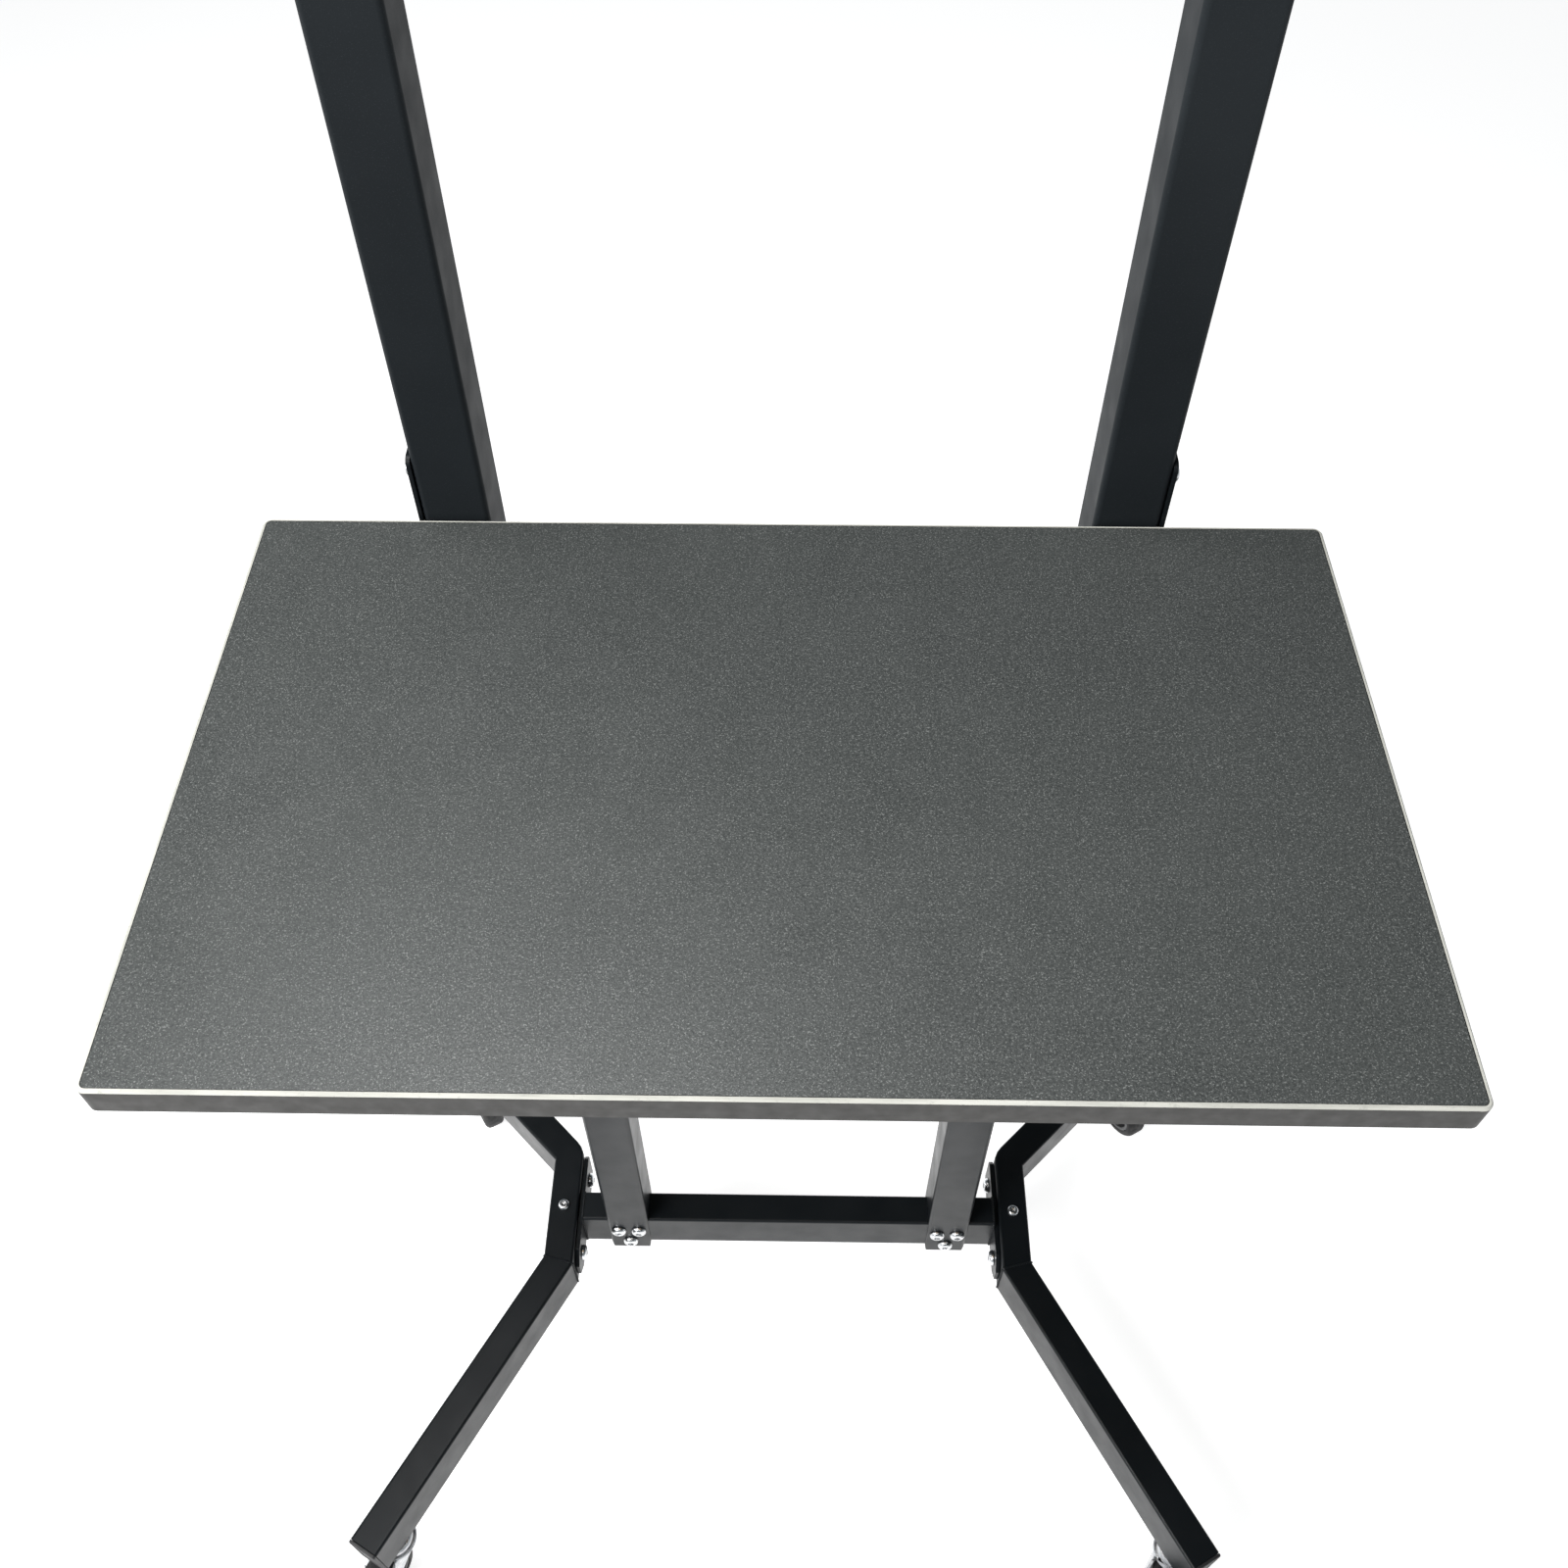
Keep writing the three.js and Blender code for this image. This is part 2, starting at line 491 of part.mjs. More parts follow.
// Pressed steel fork. The trail runs along local +X and the axle along local Y.
function casterFork() {
  const { crown, crownThick, crownRadius, legInner, legThick, legRound, trail, wheel, bore } = CASTER;
  const [eye, crownTop] = [CASTER.pinRadius + HOLE_SLACK, crown + crownThick];
  const disc = turned([[eye, crown], [crownRadius, crown], [crownRadius, crownTop],
    [eye, crownTop], [eye, crown]], 16);
  const side = new THREE.Shape();
  side.moveTo(-12, crownTop);
  side.lineTo(-12, crown - 6);
  side.lineTo(trail - legRound, wheel - 2);
  side.absarc(trail, wheel, legRound, Math.PI + 0.25, 2 * Math.PI);
  side.lineTo(trail + legRound, wheel + 4);
  side.lineTo(14, crownTop);
  side.closePath();
  const legs = [-1, 1].map((end) => {
    const leg = extrude(side, legThick, 4).rotateX(Math.PI / 2);
    return leg.translate(0, end > 0 ? legInner + legThick : -legInner, 0);
  });
  return cut(join([disc, ...legs]), drill(bore, WHOLE_TUBE, 'y', trail, 0, wheel));
}

// Axle bolt with its head and nut, drawn along local Y about the origin.
function casterAxle() {
  const inside = CASTER.legInner + CASTER.legThick + GAP;
  const [outside, shank, head] = [inside + 4, 3, 5.4];
  return alongY(turned([
    [0, -outside], [head, -outside], [head, -inside], [shank, -inside],
    [shank, inside], [head, inside], [head, outside], [0, outside],
  ], 8));
}

// Grey plastic wheel centre with a bored hub, a thin web and a rim.
function wheelCentre() {
  const { bore, hub, rim, tread } = CASTER;
  const [half, web] = [tread / 2 - 0.6, 3];
  return alongY(turned([
    [bore, -hub], [7.5, -hub], [8.5, -web], [rim - 4, -web], [rim - 3, -half], [rim, -half],
    [rim, half], [rim - 3, half], [rim - 4, web], [8.5, web], [7.5, hub], [bore, hub], [bore, -hub],
  ], 16));
}

function wheelTyre() {
  const { rim, wheel, tread } = CASTER;
  const [inner, half] = [rim + GAP, tread / 2];
  return alongY(turned([
    [inner, -half], [wheel - 3, -half], [wheel, -half + 4], [wheel, half - 4], [wheel - 3, half],
    [inner, half], [inner, -half],
  ], 28));
}

function addCaster(name, x, y, heading) {
  const swivel = new THREE.Group();
  swivel.position.set(x, y, 0);
  swivel.rotation.z = heading;
  stand.add(swivel);
  place(`${name}_caster_stem`, casterStem(), zinc, swivel);
  place(`${name}_caster_fork`, casterFork(), zinc, swivel);
  const wheelSet = new THREE.Group();
  wheelSet.position.set(CASTER.trail, 0, CASTER.wheel);
  swivel.add(wheelSet);
  place(`${name}_caster_axle`, casterAxle(), zinc, wheelSet);
  place(`${name}_wheel_centre`, wheelCentre(), blackPlastic, wheelSet);
  place(`${name}_wheel_tyre`, wheelTyre(), tyreRubber, wheelSet);
}

// ---- assembly -------------------------------------------------------------------------------
addCrossbar();
for (const [name, side] of [['left', -1], ['right', 1]]) {
  addFoot(name, side);
  addBaseScrews(name, side);
  addColumn(name, side);
  addArm(name, side);
  addPost(name, side);
}
addTopRail();
addRearRail();
addWorktop();

// At rest the rear wheels trail to the right and the front wheels to the left.
const turnIn = (CASTER.heading * Math.PI) / 180;
for (const [name, side] of [['left', -1], ['right', 1]]) {
  const { rearCaster, frontCaster } = footLine(1);
  addCaster(`${name}_rear`, side * rearCaster[0], rearCaster[1], turnIn - Math.PI / 2);
  addCaster(`${name}_front`, side * frontCaster[0], frontCaster[1], -turnIn - Math.PI / 2);
}

// Centre the outer box over the origin.
stand.updateMatrixWorld(true);
const box = new THREE.Box3().setFromObject(stand, true);
stand.position.set(-(box.min.x + box.max.x) / 2, -(box.min.y + box.max.y) / 2, -box.min.z);

export default stand;
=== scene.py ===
# Easel table: a laminate worktop in front of two tall square posts, on a splayed steel base
# with casters. Metres, +Z up, the front of the easel faces -Y.
import json
import math

import bmesh
import bpy
from mathutils import Matrix, Vector, noise


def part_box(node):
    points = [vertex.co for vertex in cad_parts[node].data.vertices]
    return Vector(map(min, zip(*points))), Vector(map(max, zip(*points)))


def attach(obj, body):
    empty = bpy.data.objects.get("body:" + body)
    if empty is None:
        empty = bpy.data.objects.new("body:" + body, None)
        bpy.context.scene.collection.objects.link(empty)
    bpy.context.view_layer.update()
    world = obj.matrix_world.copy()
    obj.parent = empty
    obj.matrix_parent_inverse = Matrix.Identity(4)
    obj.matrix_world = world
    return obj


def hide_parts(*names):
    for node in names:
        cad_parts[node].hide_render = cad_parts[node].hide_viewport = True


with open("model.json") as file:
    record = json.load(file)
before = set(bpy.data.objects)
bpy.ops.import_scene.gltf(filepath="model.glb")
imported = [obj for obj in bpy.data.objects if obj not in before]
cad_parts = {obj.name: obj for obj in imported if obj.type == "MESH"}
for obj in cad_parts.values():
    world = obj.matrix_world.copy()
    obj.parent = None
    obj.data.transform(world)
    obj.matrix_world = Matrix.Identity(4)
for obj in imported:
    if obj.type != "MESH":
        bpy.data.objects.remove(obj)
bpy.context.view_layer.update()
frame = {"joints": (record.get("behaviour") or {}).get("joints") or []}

# ---- Studio -------------------------------------------------------------------------------------
# A bright white floor that throws light back up at the steel, three softboxes on the left and a
# narrow strip high in front that draws a line along the rounded edges. The surroundings are pale
# low down and dark above, which keeps the black coat black.

MM = 0.001
EYE_FROM_REAR_EDGE = Vector((6.7, -643.9, 582.0)) * MM
EYE_PITCH, EYE_YAW, EYE_ROLL = (math.radians(a) for a in (52.01, -0.98, 0.17))
LENS, SENSOR = 34.35, 36.0
FLOOR_HALF, FLOOR_GLOW = 30.0, 0.80
PALE_BELOW, DARK_ABOVE = math.sin(math.radians(12)), math.sin(math.radians(32))
PALE_GLOW, DARK_GLOW = 0.45, 0.03
AT_WORKTOP, AT_CROSSBAR = (0, -0.1, 0.7), (0, 0, 0.3)


def add_camera(rear_edge):
    data = bpy.data.cameras.new("studio_camera")
    data.lens = LENS
    data.sensor_width = SENSOR
    data.clip_start = 0.01
    camera = bpy.data.objects.new("studio_camera", data)
    bpy.context.collection.objects.link(camera)
    flat = math.cos(EYE_PITCH)
    ahead = Vector((math.sin(EYE_YAW) * flat, math.cos(EYE_YAW) * flat, -math.sin(EYE_PITCH)))
    level_right = Vector((math.cos(EYE_YAW), -math.sin(EYE_YAW), 0))
    level_down = ahead.cross(level_right)
    right = level_right * math.cos(EYE_ROLL) + level_down * math.sin(EYE_ROLL)
    up = level_right * math.sin(EYE_ROLL) - level_down * math.cos(EYE_ROLL)
    turn = Matrix((right, up, -ahead)).transposed().to_4x4()
    camera.matrix_world = Matrix.Translation(rear_edge + EYE_FROM_REAR_EDGE) @ turn
    bpy.context.scene.camera = camera


def add_softbox(name, place, aim, size, power):
    data = bpy.data.lights.new(name, "AREA")
    data.shape = "RECTANGLE"
    data.size, data.size_y = size
    data.energy = power
    lamp = bpy.data.objects.new(name, data)
    bpy.context.collection.objects.link(lamp)
    lamp.location = place
    lamp.rotation_euler = (Vector(aim) - Vector(place)).to_track_quat("-Z", "Y").to_euler()


def add_floor():
    mesh = bpy.data.meshes.new("studio_floor")
    corners = [(sx * FLOOR_HALF, sy * FLOOR_HALF, 0) for sx, sy in ((-1, -1), (1, -1), (1, 1), (-1, 1))]
    mesh.from_pydata(corners, [], [(0, 1, 2, 3)])
    floor = bpy.data.objects.new("studio_floor", mesh)
    bpy.context.collection.objects.link(floor)
    paint = bpy.data.materials.new("lit_white_floor")
    paint.use_nodes = True
    shader = paint.node_tree.nodes["Principled BSDF"]
    shader.inputs["Base Color"].default_value = (0.85, 0.85, 0.85, 1)
    shader.inputs["Roughness"].default_value = 0.9
    shader.inputs["Specular IOR Level"].default_value = 0.0
    shader.inputs["Emission Color"].default_value = (1, 1, 1, 1)
    shader.inputs["Emission Strength"].default_value = FLOOR_GLOW
    mesh.materials.append(paint)


def add_surround():
    world = bpy.data.worlds.new("studio_surround")
    world.use_nodes = True
    tree = world.node_tree
    glow = tree.nodes["Background"]
    glow.inputs["Color"].default_value = (0.86, 0.95, 1.0, 1)
    place = tree.nodes.new("ShaderNodeTexCoord")
    split = tree.nodes.new("ShaderNodeSeparateXYZ")
    fade = tree.nodes.new("ShaderNodeMapRange")
    fade.inputs["From Min"].default_value = PALE_BELOW
    fade.inputs["From Max"].default_value = DARK_ABOVE
    fade.inputs["To Min"].default_value = PALE_GLOW
    fade.inputs["To Max"].default_value = DARK_GLOW
    tree.links.new(place.outputs["Generated"], split.inputs["Vector"])
    tree.links.new(split.outputs["Z"], fade.inputs["Value"])
    tree.links.new(fade.outputs["Result"], glow.inputs["Strength"])
    bpy.context.scene.world = world


worktop_low, worktop_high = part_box("worktop_edge_band")
add_camera(Vector((0, worktop_high.y, worktop_high.z)))
add_floor()
add_surround()
add_softbox("front_left_softbox", (-1.3, -1.0, 1.9), AT_WORKTOP, (1.0, 1.0), 34)
add_softbox("left_softbox", (-2.4, 0.2, 1.2), AT_WORKTOP, (1.2, 1.2), 14)
add_softbox("overhead_softbox", (-0.38, 0.05, 2.3), AT_WORKTOP, (0.8, 0.8), 16)
add_softbox("front_strip", (0, -1.3, 2.4), AT_CROSSBAR, (1.8, 0.3), 6)
bpy.context.scene.view_settings.view_transform = "Standard"

# ---- Feet ---------------------------------------------------------------------------------------
# Flat steel tube, bent outwards behind the crossbar and sawn, mitred and welded in front of it,
# then powder coated black. Each end is shut by a pressed-in plastic cap.

BODY = "stand"
FLAT_TUBE = {"width": 27 * MM, "height": 50 * MM, "corner": 2.6 * MM, "wall": 2 * MM}
FOOT_STRAIGHT = 51 * MM
FOOT_PAST_CASTER = 22 * MM
DEBURR = 0.35 * MM
CAP_GAP = 0.3 * MM
PLUG = {"flange": 2.7 * MM, "depth": 14 * MM, "slack": 0.4 * MM}
SIDES = {"left": -1, "right": 1}
UP = Vector((0, 0, 1))
joint_place = {j["name"]: Vector(j["pos_m"]) for j in frame["joints"]}


def node_middle(name):
    low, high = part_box(name)
    return (low + high) / 2


def shader_of(name):
    finish = bpy.data.materials.new(name)
    finish.use_nodes = True
    return finish, finish.node_tree, finish.node_tree.nodes["Principled BSDF"]


def grain(tree, scale, detail=2.0, rough=0.5, squash=(1, 1, 1)):
    """A noise pattern fixed to the piece, of that many cells a metre."""
    place = tree.nodes.new("ShaderNodeTexCoord")
    stretch = tree.nodes.new("ShaderNodeMapping")
    stretch.inputs["Scale"].default_value = squash
    tree.links.new(place.outputs["Object"], stretch.inputs["Vector"])
    pattern = tree.nodes.new("ShaderNodeTexNoise")
    pattern.inputs["Scale"].default_value = scale
    pattern.inputs["Detail"].default_value = detail
    pattern.inputs["Roughness"].default_value = rough
    tree.links.new(stretch.outputs["Vector"], pattern.inputs["Vector"])
    return pattern.outputs["Fac"]


def remap(tree, value, low, high, to_low, to_high):
    step = tree.nodes.new("ShaderNodeMapRange")
    for socket, number in zip(("From Min", "From Max", "To Min", "To Max"), (low, high, to_low, to_high)):
        step.inputs[socket].default_value = number
    tree.links.new(value, step.inputs["Value"])
    return step.outputs["Result"]


def blend_colors(tree, amount, first, second):
    """Mixes two colours, or the colour socket of another node, by a pattern."""
    mix = tree.nodes.new("ShaderNodeMix")
    mix.data_type = "RGBA"
    tree.links.new(amount, mix.inputs["Factor"])
    for socket, color in ((mix.inputs[6], first), (mix.inputs[7], second)):
        if isinstance(color, tuple):
            socket.default_value = (*color, 1)
        else:
            tree.links.new(color, socket)
    return mix.outputs[2]


def emboss(tree, shader, height, depth, strength=1.0):
    relief = tree.nodes.new("ShaderNodeBump")
    relief.inputs["Strength"].default_value = strength
    relief.inputs["Distance"].default_value = depth
    tree.links.new(height, relief.inputs["Height"])
    tree.links.new(relief.outputs["Normal"], shader.inputs["Normal"])


def worn_edges(tree, start=0.53, end=0.62):
    """Where the surface is sharply convex."""
    form = tree.nodes.new("ShaderNodeNewGeometry")
    return remap(tree, form.outputs["Pointiness"], start, end, 0.0, 1.0)


def powder_coat(name, color, roughness, specular):
    """Black powder coat: fine orange peel, a little dust in the tone, edges slightly polished."""
    finish, tree, shader = shader_of(name)
    cloudy = remap(tree, grain(tree, 9, 3), 0.3, 0.7, 0.0, 1.0)
    fleck = remap(tree, grain(tree, 1500, 1), 0.62, 0.72, 0.0, 0.5)
    lighter = tuple(1.35 * c + 0.002 for c in color)
    tone = blend_colors(tree, cloudy, color, lighter)
    tone = blend_colors(tree, fleck, tone, tuple(2.2 * c + 0.006 for c in color))
    tone = blend_colors(tree, worn_edges(tree, 0.55, 0.75), tone, tuple(3.0 * c + 0.01 for c in color))
    tree.links.new(tone, shader.inputs["Base Color"])
    patchy = remap(tree, grain(tree, 40, 4), 0.3, 0.7, roughness - 0.05, roughness + 0.06)
    tree.links.new(patchy, shader.inputs["Roughness"])
    shader.inputs["Specular IOR Level"].default_value = specular
    emboss(tree, shader, grain(tree, 950, 2), 0.12 * MM, 0.35)
    return finish


def moulded_plastic(name, color, roughness=0.52):
    """Injection-moulded plastic with a spark-eroded grain."""
    finish, tree, shader = shader_of(name)
    cloudy = remap(tree, grain(tree, 60, 3), 0.3, 0.7, 0.0, 1.0)
    tone = blend_colors(tree, cloudy, color, tuple(1.3 * c + 0.002 for c in color))
    tone = blend_colors(tree, worn_edges(tree), tone, tuple(2.0 * c + 0.01 for c in color))
    tree.links.new(tone, shader.inputs["Base Color"])
    patchy = remap(tree, grain(tree, 300, 2), 0.3, 0.7, roughness - 0.06, roughness + 0.08)
    tree.links.new(patchy, shader.inputs["Roughness"])
    emboss(tree, shader, grain(tree, 2200, 1), 0.08 * MM, 0.5)
    return finish


def rounded_outline(width, height, corner, steps=6):
    """A rounded rectangle about (0, 0), anticlockwise, as plain pairs."""
    outline = []
    for k, (sx, sy) in enumerate(((1, -1), (1, 1), (-1, 1), (-1, -1))):
        cx, cy = sx * (width / 2 - corner), sy * (height / 2 - corner)
        for i in range(steps + 1):
            angle = math.radians(90 * k - 90 + 90 * i / steps)
            outline.append((cx + corner * math.cos(angle), cy + corner * math.sin(angle)))
    return outline


def skin(loops, shut=False, lids=True):
    """Joins point loops of equal length into one surface. shut joins the last loop to the first."""
    form = bmesh.new()
    rings = [[form.verts.new(p) for p in loop] for loop in loops]
    pairs = list(zip(rings, rings[1:])) + ([(rings[-1], rings[0])] if shut else [])
    for a, b in pairs:
        for i in range(len(a)):
            j = (i + 1) % len(a)
            form.faces.new((a[i], a[j], b[j], b[i]))
    if lids and not shut:
        form.faces.new(list(reversed(rings[0])))
        form.faces.new(rings[-1])
    return form


def made(name, form, finish, nodes=(), body=BODY, crisp=32, place=None):
    """Turns a bmesh into a smooth-shaded piece that rides on a body and stands for CAD nodes."""
    bmesh.ops.remove_doubles(form, verts=form.verts, dist=1e-7)
    bmesh.ops.recalc_face_normals(form, faces=form.faces)
    if place is not None:
        form.transform(place)
    mesh = bpy.data.meshes.new(name)
    form.to_mesh(mesh)
    form.free()
    for material in finish if isinstance(finish, (list, tuple)) else [finish]:
        mesh.materials.append(material)
    mesh.shade_smooth()
    mesh.set_sharp_from_angle(angle=math.radians(crisp))
    piece = bpy.data.objects.new(name, mesh)
    bpy.context.collection.objects.link(piece)
    even = piece.modifiers.new("even_shading", "WEIGHTED_NORMAL")
    even.keep_sharp = True
    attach(piece, body)
    if nodes:
        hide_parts(*nodes)
    return piece


def hollow_sweep(stations, tube):
    """Wall of a tube through stations (middle, sideways, upwards), with deburred open ends."""
    width, height, corner, wall = (tube[k] for k in ("width", "height", "corner", "wall"))

    def ring(station, inset):
        middle, sideways, upwards = station
        outline = rounded_outline(width - 2 * inset, height - 2 * inset, max(corner - inset, 0.2 * MM))
        return [middle + sideways * u + upwards * v for u, v in outline]

    def nudged(station, towards):
        middle, sideways, upwards = station
        return middle + (towards[0] - middle).normalized() * DEBURR, sideways, upwards

    first, last = stations[0], stations[-1]
    outer = [nudged(first, stations[1]), *stations[1:-1], nudged(last, stations[-2])]
    loops = [ring(first, DEBURR)] + [ring(s, 0) for s in outer] + [ring(last, DEBURR)]
    loops += [ring(s, wall) for s in reversed(stations)]
    return skin(loops, shut=True)


def plug_form(tube):
    """Cap for a tube end, with its flange from z = CAP_GAP up and its plug below."""
    width, height, corner = (tube[k] for k in ("width", "height", "corner"))
    top = CAP_GAP + PLUG["flange"]
    inside = tube["wall"] + PLUG["slack"]
    small = [(inside, -PLUG["depth"]), (inside, CAP_GAP)]
    rim = [(0.2 * MM, CAP_GAP), (0, CAP_GAP + 0.2 * MM), (0, top - 1.3 * MM), (0.4 * MM, top - 0.5 * MM),
           (1.3 * MM, top)]
    loops = []
    for inset, z in small + rim:
        outline = rounded_outline(width - 2 * inset, height - 2 * inset, max(corner - inset, 0.5 * MM))
        loops.append([Vector((u, v, z)) for u, v in outline])
    dished = rounded_outline(width - 9 * MM, height - 9 * MM, 1.5 * MM)
    loops.append([Vector((u, v, top)) for u, v in dished])
    loops.append([Vector((u * 0.96, v * 0.96, top - 0.5 * MM)) for u, v in dished])
    return skin(loops)


def weld_bead(path, radius, wobble=0.22, pitch=1.6 * MM):
    """A laid weld: a thin rope of metal along a path, rippled where the torch paused."""
    samples = []
    for a, b in zip(path, path[1:]):
        count = max(2, int((b - a).length / (0.45 * MM)))
        samples += [a.lerp(b, i / count) for i in range(count)]
    samples.append(path[-1])
    loops, run = [], 0.0
    for i, point in enumerate(samples):
        before, after = samples[max(i - 1, 0)], samples[min(i + 1, len(samples) - 1)]
        along = (after - before).normalized()
        side = along.cross(Vector((0.31, 0.53, 0.79))).normalized()
        across = along.cross(side)
        ripple = 1 + wobble * math.sin(2 * math.pi * run / pitch) + 0.5 * wobble * noise.noise(point * 400)
        taper = min(1.0, 0.35 + i / 4, 0.35 + (len(samples) - 1 - i) / 4)
        size = radius * ripple * taper
        turns = [2 * math.pi * k / 8 for k in range(8)]
        loops.append([point + (side * math.cos(t) + across * math.sin(t)) * size for t in turns])
        run += (after - point).length
    return skin(loops)


def foot_stations(side):
    """Mitred stations of a foot from its rear end to its front end, at mid height."""
    name = "left" if side < 0 else "right"
    middle_x = node_middle(f"{name}_foot_top_screw").x
    low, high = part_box(f"{name}_foot")
    z = (low.z + high.z) / 2
    base_y = node_middle("crossbar").y
    rear, front = (joint_place[f"{name}_{end}_swivel"] for end in ("rear", "front"))
    line = [Vector((rear.x, rear.y, z)), Vector((middle_x, base_y + FOOT_STRAIGHT, z)),
            Vector((middle_x, base_y - FOOT_STRAIGHT, z)), Vector((front.x, front.y, z))]
    line[0] += (line[0] - line[1]).normalized() * FOOT_PAST_CASTER
    line[3] += (line[3] - line[2]).normalized() * FOOT_PAST_CASTER
    runs = [(b - a).normalized() for a, b in zip(line, line[1:])]
    across = [run.cross(UP) for run in runs]
    stations = [(line[0], across[0], UP)]
    for i in (1, 2):
        bisector = (across[i - 1] + across[i]).normalized()
        stations.append((line[i], bisector / bisector.dot(across[i]), UP))
    stations.append((line[3], across[2], UP))
    return stations


def softened_bend(stations, index, reach, steps):
    """Replaces one mitre by a short bend of several small mitres."""
    middle, _, up = stations[index]
    before = (stations[index - 1][0] - middle).normalized()
    after = (stations[index + 1][0] - middle).normalized()
    points = []
    for k in range(steps + 1):
        t = k / steps
        points.append(middle + before * reach * (1 - t) ** 2 + after * reach * t ** 2)
    bend = []
    for k, point in enumerate(points):
        arriving = (point - points[k - 1]).normalized() if k else -before
        leaving = (points[k + 1] - point).normalized() if k < steps else after
        bisector = (arriving.cross(up) + leaving.cross(up)).normalized()
        bend.append((point, bisector / bisector.dot(leaving.cross(up)), up))
    return stations[:index] + bend + stations[index + 1:]


base_coat = powder_coat("base_powder_coat", (0.0046, 0.0063, 0.0078), 0.34, 0.24)
cap_plastic = moulded_plastic("black_cap_plastic", (0.012, 0.012, 0.013))

for name, side in SIDES.items():
    stations = foot_stations(side)
    form = hollow_sweep(softened_bend(stations, 1, 5 * MM, 3), FLAT_TUBE)
    made(f"{name}_foot_tube", form, base_coat, [f"{name}_foot"])

    middle, across, up = stations[2]
    half, rise = FLAT_TUBE["width"] / 2, FLAT_TUBE["height"] / 2
    lip = 1.6 * MM
    seam = [middle - across * half - up * (rise - lip), middle - across * half + up * (rise - lip),
            middle - across * (half - lip) + up * rise, middle + across * (half - lip) + up * rise,
            middle + across * half + up * (rise - lip), middle + across * half - up * (rise - lip)]
    made(f"{name}_foot_weld", weld_bead(seam, 0.85 * MM), base_coat)

    for end, (tip, beyond) in {"rear": (0, 1), "front": (-1, -2)}.items():
        point, sideways, _ = stations[tip]
        outwards = (point - stations[beyond][0]).normalized()
        turn = Matrix((up.cross(outwards), up, outwards)).transposed().to_4x4()
        made(f"{name}_{end}_foot_plug", plug_form(FLAT_TUBE), cap_plastic, [f"{name}_{end}_foot_cap"],
             place=Matrix.Translation(point) @ turn)

# ---- Crossbar -----------------------------------------------------------------------------------
# The same flat tube with a 4 mm plate welded across each end. The plates bolt to the insides of
# the feet, so the base comes apart for shipping.

CROSSBAR_LOW, CROSSBAR_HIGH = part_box("crossbar")
CROSSBAR_MIDDLE = (CROSSBAR_LOW + CROSSBAR_HIGH) / 2
END_PLATE = {"thick": 4 * MM, "half": 52 * MM, "height": 40 * MM, "taper": 12 * MM, "nick": 4 * MM}
SQUARE_TUBE = {"width": 38 * MM, "height": 38 * MM, "corner": 3.4 * MM, "wall": 2 * MM}


def bevel_edges(form, size, steps=2, angle=25):
    sharp = [e for e in form.edges if len(e.link_faces) == 2 and e.calc_face_angle(0) > math.radians(angle)]
    bmesh.ops.bevel(form, geom=sharp, offset=size, segments=steps, profile=0.6, affect="EDGES",
                    clamp_overlap=True)


def sheet_form(outline, thick, edge=0.4 * MM):
    """A flat plate cut to an outline in XY, from z = 0 up, with its edges eased."""
    form = skin([[Vector((x, y, z)) for x, y in outline] for z in (0, thick)])
    bmesh.ops.recalc_face_normals(form, faces=form.faces)
    bevel_edges(form, edge)
    return form


def straight_tube(start, end, sideways, tube):
    along = (end - start).normalized()
    upwards = along.cross(sideways)
    return hollow_sweep([(start, sideways, upwards), (end, sideways, upwards)], tube)


def seam_round(middle, sideways, upwards, tube, radius):
    """Weld laid right round a tube where it meets a plate."""
    outline = rounded_outline(tube["width"], tube["height"], tube["corner"], 3)
    outline.append(outline[0])
    return weld_bead([middle + sideways * u + upwards * v for u, v in outline], radius)


def plate_outline():
    h, z, t, n = END_PLATE["half"], END_PLATE["height"] / 2, END_PLATE["taper"], END_PLATE["nick"]
    return [(-h, -z + t), (-h + t, -z), (h - n, -z), (h, -z + n), (h, z - n), (h - n, z), (-h + t, z),
            (-h, z - t)]


plate_inner = CROSSBAR_HIGH.x - END_PLATE["thick"]
left_end, right_end = (CROSSBAR_MIDDLE + Vector((s * plate_inner, 0, 0)) for s in (-1, 1))
made("crossbar_tube", straight_tube(left_end, right_end, Vector((0, -1, 0)), FLAT_TUBE), base_coat,
     ["crossbar"])
FACING_X = Matrix(((0, 0, 1), (1, 0, 0), (0, 1, 0))).to_4x4()
for name, side in SIDES.items():
    x = plate_inner if side > 0 else -CROSSBAR_HIGH.x
    place = Matrix.Translation(Vector((x, CROSSBAR_MIDDLE.y, CROSSBAR_MIDDLE.z))) @ FACING_X
    made(f"{name}_crossbar_plate", sheet_form(plate_outline(), END_PLATE["thick"]), base_coat, place=place)
    foot_of_weld = CROSSBAR_MIDDLE + Vector((side * (plate_inner - 0.3 * MM), 0, 0))
    bead = seam_round(foot_of_weld, Vector((0, 1, 0)), Vector((0, 0, 1)), FLAT_TUBE, 1.0 * MM)
    made(f"{name}_crossbar_weld", bead, base_coat)

# ---- Columns ------------------------------------------------------------------------------------
# Square tube, slotted at the foot to sit astride the crossbar, so that its front wall laps down
# over the bar as a tab with trimmed sides. A flat head plate is welded across the top.

TAB_TAPER_WIDTH, TAB_TAPER_HEIGHT = 2 * MM, 14 * MM
SADDLE_AIR = 0.3 * MM
HEAD_THICK = 4 * MM


def as_object(form, name):
    bmesh.ops.remove_doubles(form, verts=form.verts, dist=1e-7)
    bmesh.ops.recalc_face_normals(form, faces=form.faces)
    mesh = bpy.data.meshes.new(name)
    form.to_mesh(mesh)
    form.free()
    thing = bpy.data.objects.new(name, mesh)
    bpy.context.collection.objects.link(thing)
    return thing


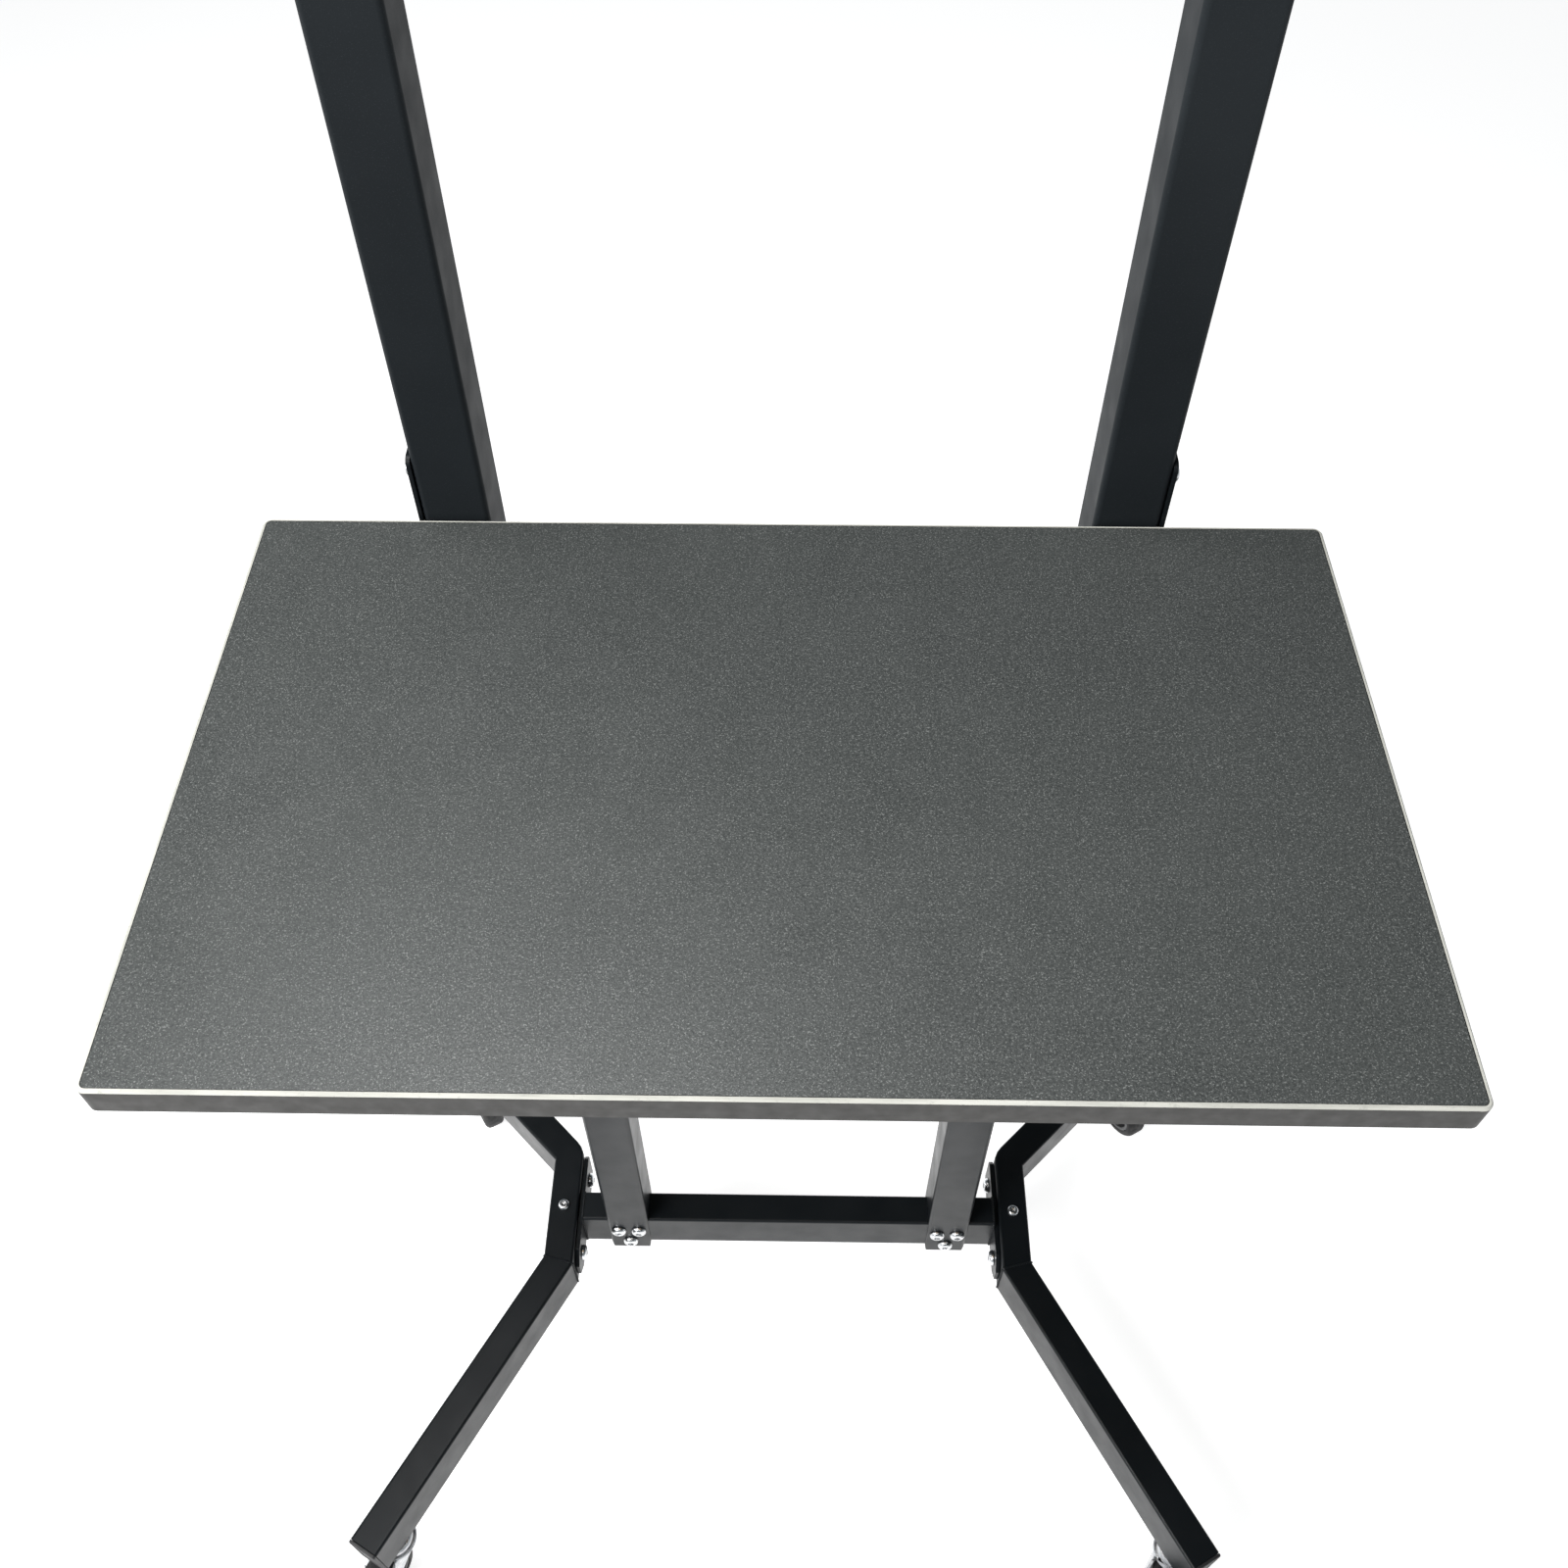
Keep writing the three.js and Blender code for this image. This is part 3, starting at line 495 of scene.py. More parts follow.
def cut_form(form, cutters):
    """Cuts one closed bmesh by others and gives the result as a bmesh."""
    work = as_object(form, "work")
    tools = [as_object(shape, "tool") for shape in cutters]
    for tool in tools:
        step = work.modifiers.new("cut", "BOOLEAN")
        step.operation = "DIFFERENCE"
        step.solver = "EXACT"
        step.object = tool
    evaluated = work.evaluated_get(bpy.context.evaluated_depsgraph_get())
    result = bmesh.new()
    result.from_mesh(evaluated.to_mesh())
    evaluated.to_mesh_clear()
    for thing in [work, *tools]:
        bpy.data.objects.remove(thing)
    return result


def prism(outline, depth):
    """A closed outline of points, carried the given way."""
    return skin([outline, [p + depth for p in outline]])


def saddle_cutter(x, reach):
    half = FLAT_TUBE["width"] / 2 + SADDLE_AIR
    y, top = CROSSBAR_MIDDLE.y, CROSSBAR_HIGH.z + SADDLE_AIR
    outline = [Vector((x - reach, y - half, 0)), Vector((x - reach, y + half, 0)),
               Vector((x - reach, y + half, top)), Vector((x - reach, y - half, top))]
    return prism(outline, Vector((2 * reach, 0, 0)))


def tab_trim(corner, side, reach):
    """Wedge that takes the side of the tab off at a slant."""
    inner, outer = -side * TAB_TAPER_WIDTH, side * reach
    outline = [(inner, 0), (0, TAB_TAPER_HEIGHT), (outer, TAB_TAPER_HEIGHT), (outer, -reach),
               (inner, -reach)]
    return prism([corner + Vector((x, -reach, z)) for x, z in outline], Vector((0, 2 * reach, 0)))


for name, side in SIDES.items():
    low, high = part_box(f"{name}_column")
    reach = SQUARE_TUBE["width"]
    middle = (low + high) / 2
    bottom, top = Vector((middle.x, middle.y, low.z)), Vector((middle.x, middle.y, high.z - HEAD_THICK))
    tube = straight_tube(bottom, top, Vector((1, 0, 0)), SQUARE_TUBE)
    trims = [tab_trim(bottom + Vector((end * reach / 2, 0, 0)), end, reach) for end in (-1, 1)]
    made(f"{name}_column_tube", cut_form(tube, [saddle_cutter(middle.x, reach), *trims]), base_coat,
         [f"{name}_column"])
    head = sheet_form(rounded_outline(reach, high.y - low.y, 2 * MM, 3), HEAD_THICK)
    made(f"{name}_column_head", head, base_coat, place=Matrix.Translation(top))
    bead = seam_round(top, Vector((1, 0, 0)), Vector((0, 1, 0)), SQUARE_TUBE, 1.0 * MM)
    made(f"{name}_column_weld", bead, base_coat)

# ---- Arms ---------------------------------------------------------------------------------------
# Square tube that carries the worktop. A plate welded across the back end bolts to the rear rail,
# and a plastic cap like those of the feet shuts the front end.

ARM_PLATE = {"width": 64 * MM, "thick": 4 * MM}
ARM_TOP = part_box("left_arm")[1].z
ARM_MIDDLE_Z = ARM_TOP - SQUARE_TUBE["height"] / 2
FACING_BACK = Matrix(((1, 0, 0), (0, 0, 1), (0, -1, 0))).to_4x4()
FACING_FRONT = Matrix(((1, 0, 0), (0, 0, -1), (0, 1, 0))).to_4x4()

for name, side in SIDES.items():
    low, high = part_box(f"{name}_arm")
    x = (low.x + high.x) / 2
    front = Vector((x, low.y, ARM_MIDDLE_Z))
    back = Vector((x, high.y - ARM_PLATE["thick"], ARM_MIDDLE_Z))
    made(f"{name}_arm_tube", straight_tube(front, back, Vector((1, 0, 0)), SQUARE_TUBE), base_coat,
         [f"{name}_arm"])
    outline = rounded_outline(ARM_PLATE["width"], SQUARE_TUBE["height"], 3 * MM, 4)
    made(f"{name}_arm_plate", sheet_form(outline, ARM_PLATE["thick"]), base_coat,
         place=Matrix.Translation(back) @ FACING_BACK)
    bead = seam_round(back, Vector((1, 0, 0)), Vector((0, 0, 1)), SQUARE_TUBE, 0.9 * MM)
    made(f"{name}_arm_weld", bead, base_coat)
    made(f"{name}_arm_plug", plug_form(SQUARE_TUBE), cap_plastic, [f"{name}_arm_cap"],
         place=Matrix.Translation(front) @ FACING_FRONT)

# ---- Rear rail ----------------------------------------------------------------------------------
# Square tube across the back, under the worktop's rear edge. The plate welded to each end reaches
# back and up beside a post, and the post is bolted to it.

POST_PLATE_THICK = 2.6 * MM
POST_PLATE_CORNER = 5 * MM
SHOULDER_DROP = 1.5 * MM


def arc(cx, cy, radius, start, end, steps=6):
    """Points of an arc, angles in degrees."""
    turns = [math.radians(start + (end - start) * i / steps) for i in range(steps + 1)]
    return [(cx + radius * math.cos(t), cy + radius * math.sin(t)) for t in turns]


low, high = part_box("worktop_rear_rail")
tongue_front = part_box("left_post")[0].y + CAP_GAP
rail_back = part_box("left_arm")[1].y + CAP_GAP + SQUARE_TUBE["height"]
rail_y = rail_back - SQUARE_TUBE["height"] / 2
plate_x = high.x - POST_PLATE_THICK
ends = [Vector((end * plate_x, rail_y, ARM_MIDDLE_Z)) for end in (-1, 1)]
made("rear_rail_tube", straight_tube(*ends, Vector((0, -1, 0)), SQUARE_TUBE), base_coat,
     ["worktop_rear_rail"])
r, shoulder = POST_PLATE_CORNER, ARM_TOP - SHOULDER_DROP
outline = [(low.y, low.z), *arc(high.y - r, low.z + r, r, -90, 0), *arc(high.y - r, high.z - r, r, 0, 90),
           *arc(tongue_front + r, high.z - r, r, 90, 180), (tongue_front, shoulder), (low.y, shoulder)]
for name, side in SIDES.items():
    x = plate_x if side > 0 else -high.x
    made(f"{name}_post_plate", sheet_form(outline, POST_PLATE_THICK, 0.3 * MM), base_coat,
         place=Matrix.Translation(Vector((x, 0, 0))) @ FACING_X)
    weld_at = Vector((side * (plate_x - 0.2 * MM), rail_y, ARM_MIDDLE_Z))
    bead = seam_round(weld_at, Vector((0, 1, 0)), Vector((0, 0, 1)), SQUARE_TUBE, 0.9 * MM)
    made(f"{name}_rail_weld", bead, base_coat)

# ---- Posts --------------------------------------------------------------------------------------
# The same square tube, standing behind the worktop, in a slightly flatter black. Plastic caps shut
# both ends, and a flat tube between the tops keeps them apart.

post_coat = powder_coat("post_powder_coat", (0.0105, 0.0128, 0.0147), 0.46, 0.05)

for name, side in SIDES.items():
    low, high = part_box(f"{name}_post")
    middle = (low + high) / 2
    bottom, top = Vector((middle.x, middle.y, low.z)), Vector((middle.x, middle.y, high.z))
    made(f"{name}_post_tube", straight_tube(bottom, top, Vector((1, 0, 0)), SQUARE_TUBE), post_coat,
         [f"{name}_post"])
    for end, point, half_turns in (("top", top, 0), ("bottom", bottom, 1)):
        place = Matrix.Translation(point) @ Matrix.Rotation(half_turns * math.pi, 4, "X")
        made(f"{name}_post_{end}_plug", plug_form(SQUARE_TUBE), cap_plastic, [f"{name}_post_{end}_cap"],
             place=place)

low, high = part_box("top_rail")
middle = (low + high) / 2
ends = [Vector((x, middle.y, middle.z)) for x in (low.x, high.x)]
rail = straight_tube(*ends, Vector((0, -1, 0)), dict(FLAT_TUBE, height=high.z - low.z))
made("top_rail_tube", rail, post_coat, ["top_rail"])

# ---- Screws -------------------------------------------------------------------------------------
# Bright zinc-plated button-head screws with a hexagon socket: M8 in the tabs and the crossbar's
# plates, M6 on top of the feet and through the plates beside the posts.

SOCKET_DEPTH = 0.55
HEAD_POINTS = 36
M8_HEAD = {"radius": 6.9 * MM, "tall": 4.2 * MM, "key": 5 * MM, "shank": 4 * MM}
M6_HEAD = {"radius": 5.3 * MM, "tall": 3.2 * MM, "key": 4 * MM, "shank": 3 * MM}


def zinc_plate():
    finish, tree, shader = shader_of("bright_zinc")
    cloudy = remap(tree, grain(tree, 700, 3), 0.3, 0.7, 0.0, 1.0)
    tree.links.new(blend_colors(tree, cloudy, (0.86, 0.87, 0.88), (0.66, 0.67, 0.68)),
                   shader.inputs["Base Color"])
    shader.inputs["Metallic"].default_value = 1.0
    tree.links.new(remap(tree, grain(tree, 1800, 2), 0.3, 0.7, 0.16, 0.34), shader.inputs["Roughness"])
    emboss(tree, shader, grain(tree, 2600, 2), 0.05 * MM, 0.4)
    return finish


bright_zinc = zinc_plate()


def button_head(head, length):
    """Screw drawn along +Z, the head's underside on z = 0."""
    radius, tall, shank = head["radius"], head["tall"], head["shank"]
    angles = [2 * math.pi * i / HEAD_POINTS for i in range(HEAD_POINTS)]

    def circle(r, z):
        return [Vector((r * math.cos(a), r * math.sin(a), z)) for a in angles]

    def hexagon(across, z):
        loop = []
        for a in angles:
            nearest = round(a / (math.pi / 3)) * math.pi / 3
            r = across / 2 / math.cos(a - nearest)
            loop.append(Vector((r * math.cos(a), r * math.sin(a), z)))
        return loop

    loops = [circle(0.6 * shank, -length), circle(shank, -length + 0.5 * MM), circle(shank, 0),
             circle(radius - 0.3 * MM, 0), circle(radius, 0.3 * MM)]
    land = head["key"] / 2 / math.cos(math.pi / 6) + 0.5 * MM
    for i in range(1, 9):
        t = i / 8 * math.pi / 2
        height = 0.3 * MM + (tall - 0.3 * MM) * math.sin(t)
        loops.append(circle(land + (radius - land) * math.cos(t), height))
    loops.append(hexagon(head["key"] + 0.25 * MM, tall - 0.05 * MM))
    loops.append(hexagon(head["key"], tall - 0.3 * MM))
    loops.append(hexagon(head["key"], tall * (1 - SOCKET_DEPTH)))
    loops.append(circle(0.4 * MM, tall * (1 - SOCKET_DEPTH) - 0.4 * MM))
    return skin(loops)


FACING = {"up": Matrix.Identity(4), "down": Matrix.Rotation(math.pi, 4, "X"),
          "front": Matrix.Rotation(math.pi / 2, 4, "X"), "right": Matrix.Rotation(math.pi / 2, 4, "Y"),
          "left": Matrix.Rotation(-math.pi / 2, 4, "Y")}


HEAD_SIDE = {"up": (2, 1), "front": (1, -1), "right": (0, 1), "left": (0, -1)}


def head_seat(node, facing, head):
    """Underside of a screw's head, from its node's box and the way that it faces."""
    low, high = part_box(node)
    axis, way = HEAD_SIDE[facing]
    seat = (low + high) / 2
    seat[axis] = (high[axis] if way > 0 else low[axis]) - way * head["tall"]
    return seat


def add_screw(name, head, facing, seat, length, nodes=(), turn=0.0):
    place = Matrix.Translation(seat) @ FACING[facing] @ Matrix.Rotation(turn, 4, "Z")
    made(name, button_head(head, length), bright_zinc, nodes, crisp=40, place=place)


for name, side in SIDES.items():
    outwards, inwards = ("right", "left") if side > 0 else ("left", "right")
    for i in (1, 2, 3):
        node = f"{name}_column_screw_{i}"
        seat = head_seat(node, "front", M8_HEAD)
        add_screw(f"{name}_tab_screw_{i}", M8_HEAD, "front", seat, 13 * MM, [node], turn=0.7 * i + side)
    node = f"{name}_foot_top_screw"
    seat = head_seat(node, "up", M6_HEAD)
    add_screw(f"{name}_foot_screw", M6_HEAD, "up", seat, 11 * MM, [node], turn=0.3 * side)
    for end in ("front", "rear"):
        node = f"{name}_{end}_end_plate_bolt"
        seat = head_seat(node, inwards, M8_HEAD)
        add_screw(f"{name}_{end}_plate_bolt", M8_HEAD, inwards, seat, 15 * MM, [node], turn=0.4)
    for end in ("upper", "lower"):
        node = f"{name}_{end}_post_bolt"
        seat = head_seat(node, outwards, M6_HEAD)
        add_screw(f"{name}_{end}_post_screw", M6_HEAD, outwards, seat, 13 * MM, [node], turn=0.2)

# ---- Fixings under the worktop ------------------------------------------------------------------
# Screws of the same finish: through the arms' plates into the rear rail, through the columns' head
# plates into the arms, and long wood screws up into the board. Two more hold the top rail.

BOARD_SCREWS = {"rail": -18.5 * MM, "arm_back": -170 * MM, "arm_front": -292 * MM}
PAN_HEAD = {"radius": 4.8 * MM, "tall": 2.6 * MM, "key": 3 * MM, "shank": 2.4 * MM}
ARM_BOLT_OFFSET = 25.5 * MM
HEAD_SCREW_OFFSET = 33.5 * MM

for name, side in SIDES.items():
    outwards = "right" if side > 0 else "left"
    column_low, column_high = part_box(f"{name}_column")
    column = (column_low + column_high) / 2
    plate_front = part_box(f"{name}_arm")[1].y - ARM_PLATE["thick"] - CAP_GAP
    for i, end in enumerate((-1, 1), 1):
        seat = Vector((column.x + end * ARM_BOLT_OFFSET, plate_front, ARM_MIDDLE_Z))
        add_screw(f"{name}_arm_screw_{i}", M6_HEAD, "front", seat, 9 * MM, turn=0.5 * i)
        seat = Vector((column.x, column.y + end * HEAD_SCREW_OFFSET, column_high.z - HEAD_THICK - CAP_GAP))
        add_screw(f"{name}_head_plate_screw_{i}", M6_HEAD, "down", seat, 13 * MM, turn=0.3 * i)
    for place_name, back in BOARD_SCREWS.items():
        seat = Vector((column.x, worktop_high.y + back, ARM_MIDDLE_Z - SQUARE_TUBE["height"] / 2 - CAP_GAP))
        add_screw(f"{name}_{place_name}_board_screw", PAN_HEAD, "down", seat, 48 * MM)
    rail = node_middle("top_rail")
    post_low, post_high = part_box(f"{name}_post")
    seat = Vector((post_high.x + CAP_GAP if side > 0 else post_low.x - CAP_GAP, rail.y, rail.z))
    add_screw(f"{name}_top_rail_screw", M6_HEAD, outwards, seat, 50 * MM)

# ---- Worktop ------------------------------------------------------------------------------------
# An 18 mm chipboard with a dark flecked laminate on top and an edging strip glued all round. The strip's
# narrow top bevel is coloured pale, which draws a thin light line round the whole top.

BAND_THICK = 2 * MM
BAND_BEVEL = 1.0 * MM
TOP_CORNER = 5 * MM
WORKTOP_SIZE = worktop_high - worktop_low
WORKTOP_MIDDLE = (worktop_low + worktop_high) / 2


def flecked_laminate():
    """Graphite laminate: a satin ground, short pale flecks and a faint cloudiness."""
    finish, tree, shader = shader_of("flecked_laminate")
    ground = blend_colors(tree, remap(tree, grain(tree, 7, 3), 0.3, 0.7, 0, 1), (0.038, 0.042, 0.041),
                          (0.050, 0.055, 0.053))
    mottled = remap(tree, grain(tree, 760, 3, 0.65), 0.36, 0.66, 0.0, 1.0)
    ground = blend_colors(tree, mottled, ground, (0.090, 0.096, 0.093))
    flecks = remap(tree, grain(tree, 1250, 2, 0.6), 0.57, 0.68, 0.0, 0.8)
    ground = blend_colors(tree, flecks, ground, (0.26, 0.27, 0.26))
    dark = remap(tree, grain(tree, 1150, 2, 0.6, (1, 1.3, 1)), 0.32, 0.40, 0.7, 0.0)
    ground = blend_colors(tree, dark, ground, (0.028, 0.032, 0.034))
    tree.links.new(ground, shader.inputs["Base Color"])
    tree.links.new(remap(tree, grain(tree, 30, 4), 0.3, 0.7, 0.32, 0.42), shader.inputs["Roughness"])
    shader.inputs["Specular IOR Level"].default_value = 0.5
    emboss(tree, shader, grain(tree, 900, 3), 0.16 * MM, 0.7)
    return finish


def edging_plastic(name, color, other, roughness):
    """Edging strip: long faint streaks along the strip and small scuffs."""
    finish, tree, shader = shader_of(name)
    streaks = remap(tree, grain(tree, 60, 3, 0.6, (0.35, 0.35, 9)), 0.3, 0.7, 0, 1)
    tone = blend_colors(tree, streaks, color, other)
    scuffs = remap(tree, grain(tree, 260, 4, 0.7), 0.58, 0.72, 0.0, 0.6)
    tone = blend_colors(tree, scuffs, tone, tuple(0.75 * c for c in color))
    tree.links.new(tone, shader.inputs["Base Color"])
    tree.links.new(remap(tree, grain(tree, 120, 3), 0.3, 0.7, roughness - 0.05, roughness + 0.08),
                   shader.inputs["Roughness"])
    emboss(tree, shader, grain(tree, 900, 2), 0.05 * MM, 0.3)
    return finish


def raw_chipboard():
    """Pressed wood chips, seen on the underside."""
    finish, tree, shader = shader_of("raw_chipboard")
    place = tree.nodes.new("ShaderNodeTexCoord")
    chips = tree.nodes.new("ShaderNodeTexVoronoi")
    chips.inputs["Scale"].default_value = 420
    tree.links.new(place.outputs["Object"], chips.inputs["Vector"])
    split = tree.nodes.new("ShaderNodeSeparateColor")
    tree.links.new(chips.outputs["Color"], split.inputs["Color"])
    tone = blend_colors(tree, split.outputs["Red"], (0.30, 0.20, 0.11), (0.55, 0.41, 0.25))
    tone = blend_colors(tree, remap(tree, grain(tree, 900, 3), 0.5, 0.7, 0, 0.6), tone, (0.16, 0.10, 0.05))
    tree.links.new(tone, shader.inputs["Base Color"])
    shader.inputs["Roughness"].default_value = 0.85
    emboss(tree, shader, chips.outputs["Distance"], 0.2 * MM, 0.4)
    return finish


def top_outline(inset, z):
    outline = rounded_outline(WORKTOP_SIZE.x - 2 * inset, WORKTOP_SIZE.y - 2 * inset,
                              max(TOP_CORNER - inset, 0.4 * MM), 8)
    return [Vector((x, y, z)) for x, y in outline]


core_low, core_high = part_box("worktop_board")
sheet_low, sheet_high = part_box("worktop_laminate")
board_inset = BAND_THICK + 0.3 * MM
to_middle = Matrix.Translation(Vector((WORKTOP_MIDDLE.x, WORKTOP_MIDDLE.y, 0)))

form = skin([top_outline(board_inset + e, z) for e, z in (
    (0.3 * MM, core_low.z), (0, core_low.z + 0.3 * MM), (0, core_high.z))])
made("worktop_core", form, raw_chipboard(), ["worktop_board"], place=to_middle)

form = skin([top_outline(board_inset + e, z) for e, z in (
    (0, sheet_low.z), (0, sheet_high.z - 0.15 * MM), (0.15 * MM, sheet_high.z))])
made("worktop_sheet", form, flecked_laminate(), ["worktop_laminate"], place=to_middle)

band_side = edging_plastic("edging_side", (0.010, 0.009, 0.007), (0.017, 0.015, 0.012), 0.50)
# The narrow bevel along the top of the strip is coloured pale, a thin light line round the whole top.
band_bevel = edging_plastic("edging_trimmed_corner", (0.50, 0.50, 0.45), (0.70, 0.69, 0.63), 0.55)
bottom_z, top_z = worktop_low.z, worktop_high.z
band_loops = [(0.4 * MM, bottom_z), (0, bottom_z + 0.4 * MM), (0, top_z - BAND_BEVEL),
              (0.12 * MM, top_z - BAND_BEVEL + 0.06 * MM), (BAND_BEVEL - 0.06 * MM, top_z - 0.12 * MM),
              (BAND_BEVEL, top_z), (BAND_THICK, top_z), (BAND_THICK, bottom_z)]
form = skin([top_outline(inset, z) for inset, z in band_loops], shut=True)
form.faces.ensure_lookup_table()
for face in form.faces:
    heights = [v.co.z for v in face.verts]
    if min(heights) > top_z - BAND_BEVEL - 0.01 * MM:
        face.material_index = 1
made("worktop_edging", form, [band_side, band_bevel], ["worktop_edge_band"],
     crisp=50, place=to_middle)

# ---- Casters ------------------------------------------------------------------------------------
# Plated swivel casters: a stem and bearing cover fixed in the foot, a pressed fork below it, an
# axle bolt, and a plastic wheel centre with ribs inside a soft grey-black tyre.

CASTER = {"wheel": 29 * MM, "tread": 20 * MM, "rim": 21 * MM, "bore": 3.4 * MM, "trail": 26 * MM,
          "hub": 10.8 * MM, "leg_inner": 11.6 * MM, "sheet": 2.4 * MM, "crown": 60.6 * MM,
          "crown_thick": 3 * MM, "leg_round": 8.5 * MM}
SHOULDER = 5.6 * MM


def plated_steel():
    """Zinc-plated pressed steel with a faint spangle."""
    finish, tree, shader = shader_of("plated_caster_steel")
    place = tree.nodes.new("ShaderNodeTexCoord")
    spangle = tree.nodes.new("ShaderNodeTexVoronoi")
    spangle.inputs["Scale"].default_value = 240
    tree.links.new(place.outputs["Object"], spangle.inputs["Vector"])
    split = tree.nodes.new("ShaderNodeSeparateColor")
    tree.links.new(spangle.outputs["Color"], split.inputs["Color"])
    tone = blend_colors(tree, split.outputs["Red"], (0.50, 0.51, 0.53), (0.66, 0.67, 0.68))
    tree.links.new(tone, shader.inputs["Base Color"])
    shader.inputs["Metallic"].default_value = 1.0
    tree.links.new(remap(tree, split.outputs["Green"], 0, 1, 0.26, 0.44), shader.inputs["Roughness"])
    emboss(tree, shader, grain(tree, 1200, 2), 0.05 * MM, 0.3)
    return finish


def tread_rubber():
    """Soft dark rubber with rolled-in dust."""
    finish, tree, shader = shader_of("tread_rubber")
    dust = remap(tree, grain(tree, 90, 5, 0.7), 0.45, 0.75, 0.0, 0.7)
    tone = blend_colors(tree, dust, (0.018, 0.018, 0.019), (0.075, 0.072, 0.068))
    tree.links.new(tone, shader.inputs["Base Color"])
    tree.links.new(remap(tree, grain(tree, 200, 3), 0.3, 0.7, 0.62, 0.85), shader.inputs["Roughness"])
    emboss(tree, shader, grain(tree, 700, 4), 0.12 * MM, 0.6)
    return finish


def turned(profile, points=48, shape=None):
    """A piece turned about +Z from (radius, height) pairs. shape may vary the height by angle."""
    loops = []
    for r, z in profile:
        ring = []
        for i in range(points):
            a = 2 * math.pi * i / points
            lift = shape(r, a) if shape else 0.0
            ring.append(Vector((max(r, 0.02 * MM) * math.cos(a), max(r, 0.02 * MM) * math.sin(a), z + lift)))
        loops.append(ring)
    return loops


def solid_turning(profile, points=48):
    return skin(turned(profile, points))


def ring_turning(profile, points=64, ribs=None):
    return skin(turned(profile, points, ribs), shut=True)


def fork_form():
    """One pressed sheet: two legs, bent over a rounded crown, drawn with the trail along +X."""
    c = CASTER
    outer_y = c["leg_inner"] + c["sheet"]
    crown_top, bend = c["crown"] + c["crown_thick"], 4.5 * MM
    path = []
    bottom = c["wheel"] - c["leg_round"]
    for i in range(17):
        t = i / 16
        path.append((-outer_y, bottom + (crown_top - bend - bottom) * t ** 0.8))
    for i in range(1, 6):
        a = math.pi / 2 * i / 5
        path.append((-outer_y + bend * (1 - math.cos(a)), crown_top - bend * (1 - math.sin(a))))
    path += [(-y, z) for y, z in reversed(path)]

    def reach(y, z):
        """How far the sheet runs backwards and forwards along the trail at this height."""
        if z < c["wheel"]:
            drop = min(1.0, (c["wheel"] - z) / c["leg_round"])
            half = c["leg_round"] * math.sqrt(max(1 - drop * drop, 0.0025))
            return c["trail"] - half, c["trail"] + half
        t = (z - c["wheel"]) / (crown_top - c["wheel"])
        ease = t * t * (3 - 2 * t)
        back = (c["trail"] - c["leg_round"]) * (1 - ease) - 12 * MM * ease
        front = (c["trail"] + c["leg_round"]) * (1 - t) + 15 * MM * t
        return back, front

    columns = 10
    form = bmesh.new()
    grid = []
    for y, z in path:
        back, front = reach(y, z)
        step = (front - back) / columns
        grid.append([form.verts.new((back + step * k, y, z)) for k in range(columns + 1)])
    for a, b in zip(grid, grid[1:]):
        for k in range(columns):
            form.faces.new((a[k], a[k + 1], b[k + 1], b[k]))
    bmesh.ops.recalc_face_normals(form, faces=form.faces)
    middle_face = min(form.faces, key=lambda f: (f.calc_center_median() - Vector((0, 0, 1))).length)
    if middle_face.normal.z < 0:
        bmesh.ops.reverse_faces(form, faces=form.faces)
    bmesh.ops.solidify(form, geom=form.faces[:], thickness=c["sheet"])
    return form


caster_steel = plated_steel()
wheel_plastic = moulded_plastic("grey_wheel_plastic", (0.045, 0.046, 0.048), 0.45)
rubber = tread_rubber()

